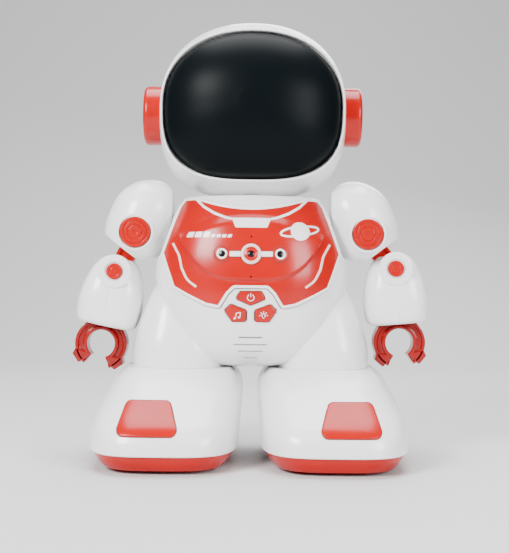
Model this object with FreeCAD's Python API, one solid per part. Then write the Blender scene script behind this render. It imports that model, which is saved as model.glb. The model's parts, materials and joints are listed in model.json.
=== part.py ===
"""Toy astronaut robot, built as the separate mouldings and mechanisms that it comes apart into.

Millimetres, +Z up. The robot faces -Y and its own right side is -X. The origin is on the floor,
midway between the feet. Paired pieces are modelled on the left (+X) side and mirrored.
"""
import FreeCAD, Part
import math
import os

Vec = FreeCAD.Vector
ORIGIN = Vec(0, 0, 0)
X_AXIS = Vec(1, 0, 0)
Y_AXIS = Vec(0, 1, 0)
Z_AXIS = Vec(0, 0, 1)
SIDES = ("right", "left")

# ---- walls and fits ----
wall = 2.4                  # thickness of the white mouldings
play = 0.4                  # gap between pieces that move past each other
running_fit = 0.05          # radial play of a shaft in its bore
inlay_depth = 1.2           # depth of the recess that an inlaid panel sits in
inlay_proud = 0.8           # height of an inlaid panel above the moulding
trim_depth = 0.6            # depth of the white lines let into the chest panel
trim_proud = 0.3            # height of those lines above the panel
section_points = 28         # points interpolated round each smooth section

# ---- feet and wheels ----
hip_z = 62.0                # top of the foot shells, where the thighs stand
foot_bottom_z = 12.0
foot_inner_x = 6.5
foot_outer_x = 103.0
foot_toe_y = -95.0
foot_heel_y = 50.0
sole_bottom_z = 2.5
sole_inset = 1.5
sole_taper = 6.0
sole_wall = 2.5
tyre_radius = 15.0
tyre_thickness = 3.5
tyre_width = 9.0
wheel_x = 63.0
wheel_y = 25.0
axle_radius = 2.5
roller_radius = 6.0
roller_width = 14.0
roller_pin_radius = 1.5
roller_x = 50.0
roller_y = -65.0
gearbox_width = 24.0
gearbox_half_length = 15.5
gearbox_top_z = 38.0
motor_radius = 9.0
motor_length = 28.0

# ---- thighs ----
thigh_inner_x = 17.5
thigh_outer_x = 80.5
thigh_half_depth = 40.0
thigh_y = -5.0
thigh_height = 57.0
hip_cap_radius = 12.0
hip_cap_z = 86.0
hip_cap_y = 13.0
hip_cap_lean = 18.0         # degrees, outward face tipped up with the slope of the thigh
hip_cap_proud = 0.8

# ---- torso ----
torso_half_width = 65.0
torso_half_depth = 53.0
torso_y = -6.0
torso_bottom_z = hip_z + 0.5
neck_z = 176.2              # top of the torso
torso_seam_y = -2.0
collar_radius = 38.0
collar_depth = 9.2
post_radius = 12.0

# ---- head ----
helmet_half_width = 64.0
helmet_half_height = 60.0
helmet_seam_y = 8.0
helmet_rear_y = 52.5
visor_half_width = 59.7
visor_half_height = 49.0
visor_rim_y = -29.0
visor_bulge = 29.0
visor_wall = 2.2
lip_width = 3.3
lip_thickness = 2.4
board_thickness = 1.6
ear_radius = 20.2
ear_outer_x = 75.6
ear_drop = 3.0              # the ears sit a little below the middle of the helmet
ear_spigot_radius = 5.0

# ---- shoulders and arms ----
shoulder_x = torso_half_width + 12.8       # pivot pin of the arm link
shoulder_y = -8.0
shoulder_inner_x = torso_half_width - 11.0
swing_z = neck_z - 15.2                    # axis that the whole arm swings about
raise_z = neck_z - 24.2                    # pivot pin of the arm link
shoulder_radius = 23.5
shoulder_sweep = 28.6                      # reach of the shoulder shell round the swing axis
axle_r = 4.0
axle_flange_r = 6.5
axle_flange_back = 7.0                     # flange behind the shoulder's flat inner face
disc_radius = 10.7
arm_pin_radius = 3.0
rim_distance = 14.4                        # open rim of the shoulder shell, from the pivot pin
rim_angle = 37.7                           # degrees from straight down
link_length = 30.0
link_width = 13.0
link_end_radius = 8.5
link_thickness = 9.0
link_tilt = {"right": 28.0, "left": 40.5}
link_sweep = (27.5, 40.0, 52.0, 62.0)      # leans that the shoulder's rim leaves room for
forearm_tilt = {"right": 11.7, "left": 5.0}
forearm_half_width = 22.0
forearm_half_depth = 20.0
forearm_bottom = -37.5                     # below the elbow pin
forearm_top = 9.0
elbow_boss_radius = 11.3
elbow_cap_radius = 5.3
elbow_pin_radius = 2.5
elbow_slot_angles = (-42.0, -28.0, -14.0, 0.0, 14.0)
stem_radius = 5.0
stem_flange_radius = 8.0
stem_web_top = -24.0
hand_centre = -50.5
hand_outer_radius = 17.7
hand_inner_radius = 9.5
hand_thickness = 14.0
hand_gap_half = 6.8
hand_groove = 1.5

# ---- chest, buttons, speaker; heights are drops below the top of the torso ----
panel_half_outline = [(36.0, -3.0), (47.0, 2.2), (59.5, 38.2), (51.0, 61.2), (41.0, 66.6),
                      (29.0, 72.2), (20.0, 73.9), (14.4, 64.7), (10.5, 60.8)]
border_width = 1.4
stripe_outer = [(37.5, 1.0), (31.0, 8.2), (24.2, 12.4), (16.0, 15.7), (11.8, 16.5)]
stripe_width = 1.5
badge_half_outline = [(12.6, 16.4), (10.2, 22.3)]
sensor_x = 18.3
sensor_drop = 39.2
sensor_window_radius = 2.3
sensor_ring_radius = 3.4
centre_bezel_radius = 6.4
centre_lens_radius = 3.7
bar_half_height = 1.7
power_outline = [(-7.0, 62.8), (7.0, 62.8), (9.5, 67.5), (0.0, 71.7), (-9.5, 67.5)]
light_outline = [(2.9, 74.8), (12.8, 71.1), (16.8, 75.0), (11.8, 82.3), (2.9, 82.1)]
button_round = 1.2
button_proud = 1.5
button_travel = 1.2
flange_reach = 1.3
flange_thickness = 1.2
pad_thickness = 1.6
pad_half_width = 24.0
pad_post_drop = 72.0
slit_rows = [(83.3, 7.4), (78.5, 10.9), (74.0, 7.9), (69.4, 3.6)]
slit_height = 1.1
speaker_radius = 13.0
speaker_z = 78.0
board_half_width = 32.0
board_bottom_z = 92.0
board_top_z = 148.0
board_y = -36.0
post_r = 3.0

# ---- battery box ----
cell_radius = 7.1
cell_length = 50.5
cell_count = 4
cell_pitch = 14.6
tray_wall = 2.0
tray_front_y = 17.0
tray_bottom_z = 92.0
tray_foot = 8.0             # thick lower wall that takes the cover screw
cover_play = 0.3
cover_screw_length = 11.0
cover_screw_proud = 1.4

# ---- screws ----
screw_radius = 1.25
screw_head_radius = 3.0
screw_head_height = 2.0
screw_boss_radius = 4.2
screw_seat = 5.0            # screw head seat behind the seam
screw_reach = 10.0          # thread length in front of the seam
body_screws_at = [(46.0, 90.0), (44.0, 124.0)]
helmet_screws_at = [(52.0, 29.0), (52.0, -29.0)]


# ---- shape helpers ----

def box(x0, x1, y0, y1, z0, z1):
    return Part.makeBox(x1 - x0, y1 - y0, z1 - z0, Vec(x0, y0, z0))


def rod(x, y, z, radius, length, axis):
    return Part.makeCylinder(radius, length, Vec(x, y, z), axis)


def polar_radius(angle, power):
    """Distance to the superellipse |u|^p + |v|^p = 1 in the direction of the angle."""
    p = power
    if isinstance(power, tuple):
        p = power[0] if math.sin(angle) >= 0 else power[1]
    return (abs(math.cos(angle)) ** p + abs(math.sin(angle)) ** p) ** (-1.0 / p)


def section_wire(axis, t, cu, cv, hu, hv, power):
    """Smooth closed superellipse at height t along the axis."""
    points = []
    for i in range(section_points):
        angle = 2 * math.pi * (i + 0.5) / section_points
        reach = polar_radius(angle, power)
        u = cu + hu * reach * math.cos(angle)
        v = cv + hv * reach * math.sin(angle)
        points.append(Vec(u, v, t) if axis == "z" else Vec(u, t, v))
    curve = Part.BSplineCurve()
    curve.interpolate(Points=points, PeriodicFlag=True)
    return Part.Wire([curve.toShape()])


def stack(axis, sections):
    """Solid lofted through sections (t, cu, cv, hu, hv, power) along Z or Y."""
    return Part.makeLoft([section_wire(axis, *s) for s in sections], True, False)


def grown(sections, amount):
    """The same stack with its skin moved outward along the profile normal, inward if negative."""
    result = []
    last = len(sections) - 1
    for i, (t, cu, cv, hu, hv, power) in enumerate(sections):
        before = sections[max(i - 1, 0)]
        after = sections[min(i + 1, last)]
        run = after[0] - before[0]
        rise = 0.5 * ((after[3] + after[4]) - (before[3] + before[4]))
        length = math.hypot(run, rise)
        side = amount * run / length
        result.append((t - amount * rise / length, cu, cv, hu + side, hv + side, power))
    return result


def opened(sections, first=0.0, last=0.0):
    """Run the end sections on past their ends, so that a hollow breaks through there."""
    result = list(sections)
    if first:
        t, rest = result[0][0], result[0][1:]
        result[0] = (t - first,) + rest
    if last:
        t, rest = result[-1][0], result[-1][1:]
        result[-1] = (t + last,) + rest
    return result


def rounded_wire(points, radius):
    """Closed wire in the XZ plane at y = 0, straight runs joined by tangent arcs."""
    corners = [Vec(x, 0, z) for x, z in points]
    bends = []
    for i, corner in enumerate(corners):
        to_before = corners[i - 1] - corner
        to_after = corners[(i + 1) % len(corners)] - corner
        limit = 0.45 * min(to_before.Length, to_after.Length)
        half = 0.5 * to_before.getAngle(to_after)
        reach = min(radius / math.tan(half), limit)
        bend = reach * math.tan(half)
        to_before.normalize()
        to_after.normalize()
        bisector = (to_before + to_after).normalize()
        middle = corner + bisector * (bend / math.sin(half) - bend)
        bends.append((corner + to_before * reach, middle, corner + to_after * reach))
    edges = []
    for i, (start, middle, end) in enumerate(bends):
        edges.append(Part.Arc(start, middle, end).toShape())
        edges.append(Part.LineSegment(end, bends[(i + 1) % len(bends)][0]).toShape())
    return Part.Wire(edges)


def prism(points, y0, y1, radius=0.5):
    """Outline in the XZ plane, rounded at its corners, run from y0 to y1."""
    face = Part.Face(rounded_wire(points, radius))
    face.translate(Vec(0, y0, 0))
    return face.extrude(Vec(0, y1 - y0, 0))


def spread(points, amount):
    """Outline with every edge moved outward by the amount."""
    area = sum(p[0] * q[1] - q[0] * p[1] for p, q in zip(points, points[1:] + points[:1]))
    turn = 1.0 if area > 0 else -1.0
    result = []
    for i, point in enumerate(points):
        before = points[i - 1]
        after = points[(i + 1) % len(points)]
        in_edge = (point[0] - before[0], point[1] - before[1])
        out_edge = (after[0] - point[0], after[1] - point[1])
        in_length = math.hypot(*in_edge)
        out_length = math.hypot(*out_edge)
        in_normal = (turn * in_edge[1] / in_length, -turn * in_edge[0] / in_length)
        out_normal = (turn * out_edge[1] / out_length, -turn * out_edge[0] / out_length)
        nx = in_normal[0] + out_normal[0]
        nz = in_normal[1] + out_normal[1]
        scale = 2.0 * amount / (nx * nx + nz * nz)
        result.append((point[0] + scale * nx, point[1] + scale * nz))
    return result


def on_chest(points):
    """Outline given as (x, drop below the torso top) as (x, z)."""
    return [(x, neck_z - drop) for x, drop in points]


def mirrored_outline(half):
    """Closed outline from the half on +X."""
    return half + [(-x, z) for x, z in reversed(half)]


def turned(profile, origin, direction):
    """Solid of revolution of a closed (radius, height) profile, its height along the direction."""
    points = [Vec(r, 0, h) for r, h in profile]
    face = Part.Face(Part.makePolygon(points + points[:1]))
    solid = face.revolve(ORIGIN, Z_AXIS, 360)
    solid.Placement = FreeCAD.Placement(origin, FreeCAD.Rotation(Z_AXIS, direction))
    return solid


def hang(shape, tilt, pivot):
    """From the local frame of an arm piece: local -Z leans outward by the tilt, origin to pivot."""
    moved = shape.copy()
    moved.rotate(ORIGIN, Y_AXIS, -tilt)
    moved.translate(pivot)
    return moved


def for_side(shape, side):
    return shape if side == "left" else shape.mirror(ORIGIN, X_AXIS)


def both_sides(shape):
    return shape.fuse(shape.mirror(ORIGIN, X_AXIS))


def main_solid(shape):
    """The largest solid, without the crumbs that a cut along a curved skin leaves."""
    return max(shape.Solids, key=lambda solid: solid.Volume)


def export(name, shape):
    shape.exportStep("parts/" + name + ".step")


# ---- outlines and section stacks shared by neighbouring pieces ----

torso_height = neck_z - torso_bottom_z
torso_shares = [(0.0, 0.30, 0.34), (0.025, 0.56, 0.55), (0.11, 0.79, 0.79), (0.24, 0.915, 0.93),
                (0.42, 0.985, 1.0), (0.60, 1.0, 0.99), (0.77, 0.93, 0.92), (0.90, 0.82, 0.81),
                (1.0, 0.69, 0.68)]
torso_sections = [(torso_bottom_z + share * torso_height, 0.0, torso_y, wide * torso_half_width,
                   deep * torso_half_depth, 2.3) for share, wide, deep in torso_shares]

helmet_z = neck_z + 2 * play + helmet_half_height
helmet_power = (2.2, 3.0)
helmet_shares = [(-33.0, 0.964, 0.853), (-26.0, 0.977, 0.913), (-16.0, 0.993, 0.975),
                 (-4.0, 1.0, 1.0), (12.0, 0.985, 0.985), (28.0, 0.90, 0.90), (41.0, 0.72, 0.72),
                 (49.5, 0.47, 0.47), (helmet_rear_y, 0.17, 0.17)]
helmet_sections = [(y, 0.0, helmet_z, wide * helmet_half_width, tall * helmet_half_height,
                    helmet_power) for y, wide, tall in helmet_shares]

visor_power = (2.15, 2.9)
visor_shares = [(1.0, 0.14), (0.93, 0.37), (0.76, 0.64), (0.52, 0.845), (0.24, 0.965), (0.0, 1.0)]
visor_sections = [(visor_rim_y - forward * visor_bulge, 0.0, helmet_z,
                   size * visor_half_width, size * visor_half_height, visor_power)
                  for forward, size in visor_shares]

shoulder_sections = [(swing_z - 27.4, shoulder_x + 1.0, shoulder_y, 9.0, 9.0, 2.0),
                     (swing_z - 25.0, shoulder_x + 0.9, shoulder_y, 14.5, 14.5, 2.0),
                     (swing_z - 17.0, shoulder_x + 0.6, shoulder_y, 21.3, 21.3, 2.1),
                     (swing_z - 6.0, shoulder_x - 0.4, shoulder_y, 23.3, 23.5, 2.2),
                     (swing_z + 6.0, shoulder_x - 4.4, shoulder_y, 24.0, 23.3, 2.2),
                     (swing_z + 16.0, shoulder_x - 6.4, shoulder_y, 21.0, 20.5, 2.1),
                     (swing_z + 24.5, shoulder_x - 7.8, shoulder_y, 12.5, 12.5, 2.0),
                     (swing_z + 27.6, shoulder_x - 8.2, shoulder_y, 4.5, 4.5, 2.0)]

thigh_shares = [(0.0, 0.0, 1.0, 1.0), (0.21, 0.5, 1.0, 1.0), (0.42, 2.5, 0.945, 0.95),
                (0.615, 6.5, 0.875, 0.875), (0.81, 12.5, 0.79, 0.75), (0.96, 20.5, 0.69, 0.5),
                (1.0, 27.0, 0.62, 0.3)]


def thigh_section(share, tuck, wide, deep):
    """Section between an inner edge tucked in behind the belly and the sloping outer edge."""
    inner = thigh_inner_x + tuck
    span = thigh_outer_x - thigh_inner_x
    outer = thigh_inner_x + wide * span + (1.0 - wide) * 12.0
    return (hip_z + share * thigh_height, 0.5 * (inner + outer), thigh_y,
            0.5 * (outer - inner), deep * thigh_half_depth, 2.6)


thigh_sections = [thigh_section(*shares) for shares in thigh_shares]


def foot_section(z, inner, outer, toe, heel, power):
    """Section of the foot from its inner and outer edge, its toe and its heel."""
    return (z, 0.5 * (foot_inner_x + inner + foot_outer_x - outer),
            0.5 * (foot_toe_y + toe + foot_heel_y - heel),
            0.5 * (foot_outer_x - outer - foot_inner_x - inner),
            0.5 * (foot_heel_y - heel - foot_toe_y - toe), power)


foot_height = hip_z - foot_bottom_z
foot_sections = [foot_section(foot_bottom_z, 1.0, 0.0, 0.0, 0.0, 3.6),
                 foot_section(foot_bottom_z + 0.24 * foot_height, 0.0, 0.0, 3.0, 0.0, 3.6),
                 foot_section(foot_bottom_z + 0.48 * foot_height, -1.0, 3.0, 15.0, 1.0, 3.6),
                 foot_section(foot_bottom_z + 0.72 * foot_height, -1.5, 9.0, 29.0, 3.0, 3.5),
                 foot_section(foot_bottom_z + 0.90 * foot_height, 1.0, 14.0, 40.0, 4.0, 3.4),
                 foot_section(hip_z, 6.0, 19.0, 48.0, 7.0, 3.2)]

panel_outline = mirrored_outline(on_chest(panel_half_outline))
panel_rear_y = torso_y - 13.0
front_y = torso_y - torso_half_depth - 20.0


def torso_layer(outer_growth, inner_growth):
    """The space between two skins parallel to the torso's outer skin."""
    outer = stack("z", grown(torso_sections, outer_growth))
    return outer.cut(stack("z", grown(torso_sections, inner_growth)))


def shoulder_recess(growth=0.0):
    """Round space beside the torso that the shoulder shell swings in."""
    start = shoulder_inner_x - play - growth
    return both_sides(rod(start, shoulder_y, swing_z, shoulder_sweep + play + growth, 60.0, X_AXIS))


def neck_opening():
    return rod(0, torso_y, neck_z - collar_depth, collar_radius, 30.0, Z_AXIS)


# ---- torso ----

def speaker_slits():
    slits = []
    for z, half in slit_rows:
        slits.append(box(-half, half, front_y, torso_y - 20.0, z - slit_height / 2, z + slit_height / 2))
    return slits[0].multiFuse(slits[1:])


def screw_posts(positions, centre_z, solid, seam_y, length):
    """Posts in front of the seam that the screws bite into, trimmed to the moulding's skin."""
    posts = []
    for x, z in positions:
        posts.append(rod(x, seam_y - length, centre_z + z, screw_boss_radius, length, Y_AXIS))
    return both_sides(posts[0].multiFuse(posts[1:])).common(solid)


def screw_bores(positions, centre_z, seam_y):
    bores = [rod(x, seam_y - screw_reach - 1.0, centre_z + z, screw_radius,
                 screw_reach + 2.0, Y_AXIS) for x, z in positions]
    return both_sides(bores[0].multiFuse(bores[1:]))


def screw_tubes(positions, centre_z, solid, seam_y):
    """Tubes behind the seam, from the seam to the rear skin."""
    tubes = [rod(x, seam_y, centre_z + z, screw_boss_radius, 70.0, Y_AXIS) for x, z in positions]
    return both_sides(tubes[0].multiFuse(tubes[1:])).common(solid)


def screw_wells(positions, centre_z, seam_y):
    """Clearance hole and wide well for the head, open at the rear."""
    holes = []
    for x, z in positions:
        holes.append(rod(x, seam_y - 1.0, centre_z + z, screw_radius + play, 80.0, Y_AXIS))
        holes.append(rod(x, seam_y + screw_seat, centre_z + z, screw_head_radius + 0.2, 80.0, Y_AXIS))
    return both_sides(holes[0].multiFuse(holes[1:]))


def screw(x, z, seam_y):
    """Round-headed screw with a cross recess, its head towards +Y."""
    shank = rod(x, seam_y - screw_reach, z, screw_radius, screw_reach + screw_seat, Y_AXIS)
    head = rod(x, seam_y + screw_seat, z, screw_head_radius, screw_head_height, Y_AXIS)
    top = seam_y + screw_seat + screw_head_height
    slot_a = box(x - 1.8, x + 1.8, top - 0.9, top + 1.0, z - 0.4, z + 0.4)
    slot_b = box(x - 0.4, x + 0.4, top - 0.9, top + 1.0, z - 1.8, z + 1.8)
    return shank.fuse(head).cut(slot_a.fuse(slot_b))


def screw_set(positions, centre_z, seam_y):
    solids = []
    for x, z in positions:
        for sign in (-1, 1):
            solids.append(screw(sign * x, centre_z + z, seam_y))
    return Part.makeCompound(solids)


def mirrored_button(points):
    return [(-x, drop) for x, drop in reversed(points)]


button_outlines = {"power_button": power_outline,
                   "light_button": light_outline,
                   "music_button": mirrored_button(light_outline)}


def button(outline):
    """Key with a proud cap, a body through the shell and a flange behind the wall."""
    shape = on_chest(outline)
    cap = prism(shape, front_y, torso_y, button_round)
    body = cap.common(torso_layer(button_proud, -wall - play - flange_thickness))
    flange = prism(spread(shape, flange_reach), front_y, torso_y, button_round)
    ring = flange.common(torso_layer(-wall - play, -wall - play - flange_thickness))
    return main_solid(body.fuse(ring).removeSplitter())


def button_holes():
    holes = [prism(spread(on_chest(outline), play), front_y, torso_y, button_round + play)
             for outline in button_outlines.values()]
    return holes[0].multiFuse(holes[1:])


pad_depth = wall + play + flange_thickness + button_travel + play


def pad_outline():
    drops = (60.0, 84.5)
    return on_chest([(pad_half_width, drops[0]), (pad_half_width, drops[1]),
                     (-pad_half_width, drops[1]), (-pad_half_width, drops[0])])


def button_pad():
    """Curved rubber switch mat a button's travel behind the flanges."""
    plate = prism(pad_outline(), front_y, torso_y, 3.0)
    return main_solid(plate.common(torso_layer(-pad_depth, -pad_depth - pad_thickness)))


def pad_posts():
    post = rod(pad_half_width - 3.2, front_y, neck_z - pad_post_drop, 2.4, 60.0, Y_AXIS)
    return both_sides(post).common(torso_layer(-wall + 0.4, -pad_depth))


def board_posts():
    """Four posts from the front wall to the circuit board."""
    posts = []
    for z in (board_bottom_z + 5.0, board_top_z - 5.0):
        posts.append(rod(board_half_width - 4.5, front_y, z, post_r, board_y - front_y, Y_AXIS))
    inside = stack("z", grown(torso_sections, -inlay_depth - 0.3))
    return both_sides(posts[0].multiFuse(posts[1:])).common(inside)


def lens_holes():
    holes = [both_sides(rod(sensor_x, front_y, neck_z - sensor_drop, sensor_ring_radius, 60.0, Y_AXIS)),
             rod(0, front_y, neck_z - sensor_drop, centre_bezel_radius, 60.0, Y_AXIS)]
    return holes[0].fuse(holes[1])


def torso_front_shell():
    outer = stack("z", torso_sections)
    inner = stack("z", grown(torso_sections, -wall))
    shell = outer.cut(shoulder_recess()).cut(inner.cut(shoulder_recess(wall)))
    shell = shell.common(box(-90, 90, -90, torso_seam_y, 0, 260))
    shell = shell.fuse(screw_posts(body_screws_at, 0, inner, torso_seam_y, 60.0))
    shell = shell.fuse([pad_posts(), board_posts()])
    recess = prism(panel_outline, front_y, panel_rear_y, 2.0).common(torso_layer(5.0, -inlay_depth))
    cuts = [recess, neck_opening(), speaker_slits(), button_holes(), lens_holes(),
            screw_bores(body_screws_at, 0, torso_seam_y), axle_bore()]
    for cutter in cuts:
        shell = shell.cut(cutter)
    return main_solid(shell)


def torso_rear_shell():
    outer = stack("z", torso_sections)
    inner = stack("z", grown(torso_sections, -wall))
    shell = outer.cut(shoulder_recess()).cut(inner.cut(shoulder_recess(wall)))
    shell = shell.common(box(-90, 90, torso_seam_y, 90, 0, 260))
    shell = shell.fuse(screw_tubes(body_screws_at, 0, outer.cut(shoulder_recess()), torso_seam_y))
    for cutter in (neck_opening(), screw_wells(body_screws_at, 0, torso_seam_y),
                   cover_prism(cover_play), axle_bore()):
        shell = shell.cut(cutter)
    return main_solid(shell)


def axle_bore():
    """Bores in the recess walls that the shoulder axles run in."""
    return both_sides(rod(shoulder_inner_x - 12.0, shoulder_y, swing_z, axle_r + running_fit, 20.0, X_AXIS))


def neck_collar():
    """White ring that closes the neck and carries the head's post."""
    low = neck_z - collar_depth
    top = neck_z + play
    profile = [(post_radius + running_fit, low), (collar_radius, low), (collar_radius, low + 5.0),
               (collar_radius - 1.0, top - 1.4), (collar_radius - 3.0, top),
               (post_radius + running_fit, top)]
    return turned(profile, Vec(0, torso_y, 0), Z_AXIS)


# ---- chest ----

def stripe_outline():
    """Neckline stripe and badge as one outline."""
    upper = on_chest(stripe_outer)
    lower = [(x - 0.4 * stripe_width, z - stripe_width) for x, z in upper]
    low_badge = on_chest(badge_half_outline)
    return mirrored_outline(list(reversed(upper)) + lower[:-1] + low_badge[:1] + low_badge[1:])


def trim_prism():
    """Everything white on the chest panel: its border, the neckline stripe, badge and sensor bars."""
    border = prism(panel_outline, front_y, panel_rear_y, 2.0)
    border = border.cut(prism(spread(panel_outline, -border_width), front_y - 1, torso_y + 1, 1.5))
    bar_z = neck_z - sensor_drop
    bar = box(-sensor_x, sensor_x, front_y, torso_y - 20.0, bar_z - bar_half_height, bar_z + bar_half_height)
    stripe = prism(stripe_outline(), front_y, torso_y, 0.5)
    return border.multiFuse([bar, stripe])


def chest_trim():
    layer = torso_layer(inlay_proud + trim_proud, inlay_proud - trim_depth)
    trim = trim_prism().common(layer)
    trim = trim.cut(lens_holes()).cut(neck_opening()).cut(shoulder_recess())
    solids = [solid for solid in trim.Solids if solid.Volume > 0.5]
    return Part.makeCompound(solids)


def chest_panel():
    panel = prism(panel_outline, front_y, panel_rear_y, 2.0).common(torso_layer(inlay_proud, -inlay_depth))
    trim = trim_prism().common(torso_layer(5.0, inlay_proud - trim_depth))
    for cutter in (trim, lens_holes(), neck_opening(), shoulder_recess()):
        panel = panel.cut(cutter)
    return main_solid(panel)


def sensor_windows():
    """Two dark windows, each a stepped plug with a hollow front."""
    plug = rod(sensor_x, front_y, neck_z - sensor_drop, sensor_ring_radius, 60.0, Y_AXIS)
    plug = plug.common(torso_layer(inlay_proud + 0.9, -wall))
    eye = rod(sensor_x, front_y, neck_z - sensor_drop, sensor_window_radius, 60.0, Y_AXIS)
    plug = plug.cut(eye.common(torso_layer(5.0, inlay_proud - 0.2)))
    plug = main_solid(plug)
    return Part.makeCompound([plug, plug.mirror(ORIGIN, X_AXIS)])


def centre_lens():
    """Round bezel between the windows, with a ring groove and a small middle hole."""
    z = neck_z - sensor_drop
    plug = rod(0, front_y, z, centre_bezel_radius, 60.0, Y_AXIS)
    plug = plug.common(torso_layer(inlay_proud + 1.1, -wall))
    front = rod(0, front_y, z, centre_lens_radius + 0.7, 60.0, Y_AXIS)
    groove = front.cut(rod(0, front_y - 1, z, centre_lens_radius, 62.0, Y_AXIS))
    hole = rod(0, front_y, z, 1.8, 60.0, Y_AXIS)
    deep = torso_layer(5.0, inlay_proud - 0.1)
    return main_solid(plug.cut(groove.common(deep)).cut(hole.common(deep)))


# ---- inside the torso ----

def speaker():
    body = rod(0, front_y, speaker_z, speaker_radius, board_y + 6.0 - front_y, Y_AXIS)
    body = body.common(stack("z", grown(torso_sections, -wall)))
    magnet = rod(0, board_y + 5.0, speaker_z, 0.55 * speaker_radius, 6.0, Y_AXIS)
    return main_solid(body.fuse(magnet))


def main_board():
    """Circuit board with a processor, a driver chip and a connector on its rear face."""
    rear = board_y + board_thickness
    board = box(-board_half_width, board_half_width, board_y, rear, board_bottom_z, board_top_z)
    middle = 0.5 * (board_bottom_z + board_top_z)
    chips = [box(-9, 9, rear, rear + 1.6, middle - 9, middle + 9),
             box(14, 26, rear, rear + 1.4, middle - 5, middle + 5),
             box(-27, -15, rear, rear + 6.0, middle - 3, middle + 3)]
    return board.multiFuse(chips)


tray_half_width = cell_count * cell_pitch / 2 + tray_wall
tray_top_z = tray_bottom_z + cell_length + 2.0
cell_y = tray_front_y + tray_wall + cell_radius + 0.2


def cover_prism(growth=0.0):
    """Space of the battery cover, straight through the rear wall."""
    half = tray_half_width - tray_wall + growth
    return box(-half, half, cell_y, 90, tray_bottom_z - tray_foot + 1.0 - growth, tray_top_z + growth)


def cover_screw_z():
    return tray_bottom_z - tray_foot / 2


def battery_tray():
    """Tray open at the rear, its walls running out to the rear shell."""
    block = box(-tray_half_width, tray_half_width, tray_front_y, 90,
                tray_bottom_z - tray_foot, tray_top_z + tray_wall)
    block = block.common(stack("z", grown(torso_sections, -wall)))
    half = tray_half_width - tray_wall
    block = block.cut(box(-half, half, tray_front_y + tray_wall, 90, tray_bottom_z, tray_top_z))
    bore = rod(0, tray_front_y + tray_wall, cover_screw_z(), screw_radius + 2 * running_fit, 70.0, Y_AXIS)
    return main_solid(block.cut(bore))


def battery_cells():
    """Round cells side by side, each with its raised contact."""
    cells = []
    for i in range(cell_count):
        x = (i - (cell_count - 1) / 2) * cell_pitch
        can = rod(x, cell_y, tray_bottom_z, cell_radius, cell_length - 1.2, Z_AXIS)
        tip = rod(x, cell_y, tray_bottom_z, 2.7, cell_length, Z_AXIS)
        cells.append(can.fuse(tip))
    return Part.makeCompound(cells)


def rear_skin_y(x, z):
    """Where a line along Y leaves the torso's rear skin."""
    line = Part.makeLine(Vec(x, torso_y, z), Vec(x, 100, z)).common(stack("z", torso_sections))
    return max(vertex.Point.y for vertex in line.Vertexes)


def battery_cover():
    skin = torso_layer(0.0, -wall + cover_play)
    cover = main_solid(cover_prism().common(skin))
    hole = rod(0, cell_y, cover_screw_z(), screw_radius + running_fit, 90.0, Y_AXIS)
    grip = box(-10, 10, cell_y, 90, tray_top_z - 7.0, tray_top_z - 4.5)
    grip = grip.common(torso_layer(5.0, -0.8))
    return main_solid(cover.cut(hole).cut(grip))


def battery_cover_screw():
    """Captive screw through the lower edge of the cover into the tray."""
    z = cover_screw_z()
    skin_y = rear_skin_y(0, z)
    head = rod(0, skin_y - wall, z, screw_head_radius, wall + cover_screw_proud, Y_AXIS)
    head = main_solid(head.cut(stack("z", torso_sections)))
    shank = rod(0, skin_y - cover_screw_length, z, screw_radius, cover_screw_length + 0.2, Y_AXIS)
    top = skin_y + cover_screw_proud
    slot = box(-4.0, 4.0, top - 0.6, top + 1.0, z - 0.4, z + 0.4)
    return main_solid(head.fuse(shank).cut(slot))


# ---- legs and feet ----

def thigh_shell():
    outer = stack("z", thigh_sections)
    inner = stack("z", grown(thigh_sections, -wall))
    shell = outer.cut(inner).cut(stack("z", torso_sections))
    return main_solid(shell.cut(hip_cap_blank()))


def hip_cap_axis():
    lean = math.radians(hip_cap_lean)
    return Vec(math.cos(lean), 0, math.sin(lean))


def hip_cap_seat_x():
    """Outer skin of the thigh at the height of the cap."""
    share = (hip_cap_z - hip_z) / thigh_height
    below, above = thigh_sections[2], thigh_sections[3]
    mix = (share - thigh_shares[2][0]) / (thigh_shares[3][0] - thigh_shares[2][0])
    low_x = below[1] + below[3]
    high_x = above[1] + above[3]
    return low_x + mix * (high_x - low_x)


def hip_cap_blank():
    centre = Vec(hip_cap_seat_x(), hip_cap_y, hip_cap_z) - hip_cap_axis() * 5.0
    return Part.makeCylinder(hip_cap_radius, 5.0 + hip_cap_proud + 5.0, centre, hip_cap_axis())


def hip_cap():
    """Round cap with a rolled rim and two rings, set in a hole in the thigh."""
    r = hip_cap_radius
    top = 5.0 + hip_cap_proud
    profile = [(0, 0), (r, 0), (r, top - 1.2), (r - 0.4, top - 0.4), (r - 1.2, top), (r - 3.0, top),
               (r - 3.0, top - 0.6), (r - 3.8, top - 0.6), (r - 3.8, top), (4.5, top),
               (4.5, top - 0.6), (3.7, top - 0.6), (3.7, top), (0, top)]
    centre = Vec(hip_cap_seat_x(), hip_cap_y, hip_cap_z) - hip_cap_axis() * 5.0
    return turned(profile, centre, hip_cap_axis())


insert_outline = [(50.0, 44.0), (77.5, 44.0), (83.0, 24.0), (43.0, 24.0)]


def insert_prism():
    return prism(insert_outline, foot_toe_y - 20.0, 0.5 * foot_toe_y, 4.0)


def foot_layer(outer_growth, inner_growth):
    outer = stack("z", grown(foot_sections, outer_growth))
    return outer.cut(stack("z", grown(foot_sections, inner_growth)))


def foot_shell():
    outer = stack("z", foot_sections)
    inner = stack("z", opened(grown(foot_sections, -wall), first=6.0))
    shell = outer.cut(inner)
    recess = insert_prism().common(foot_layer(5.0, -inlay_depth))
    return main_solid(shell.cut(recess))


def foot_insert():
    return main_solid(insert_prism().common(foot_layer(inlay_proud, -inlay_depth)))


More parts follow.
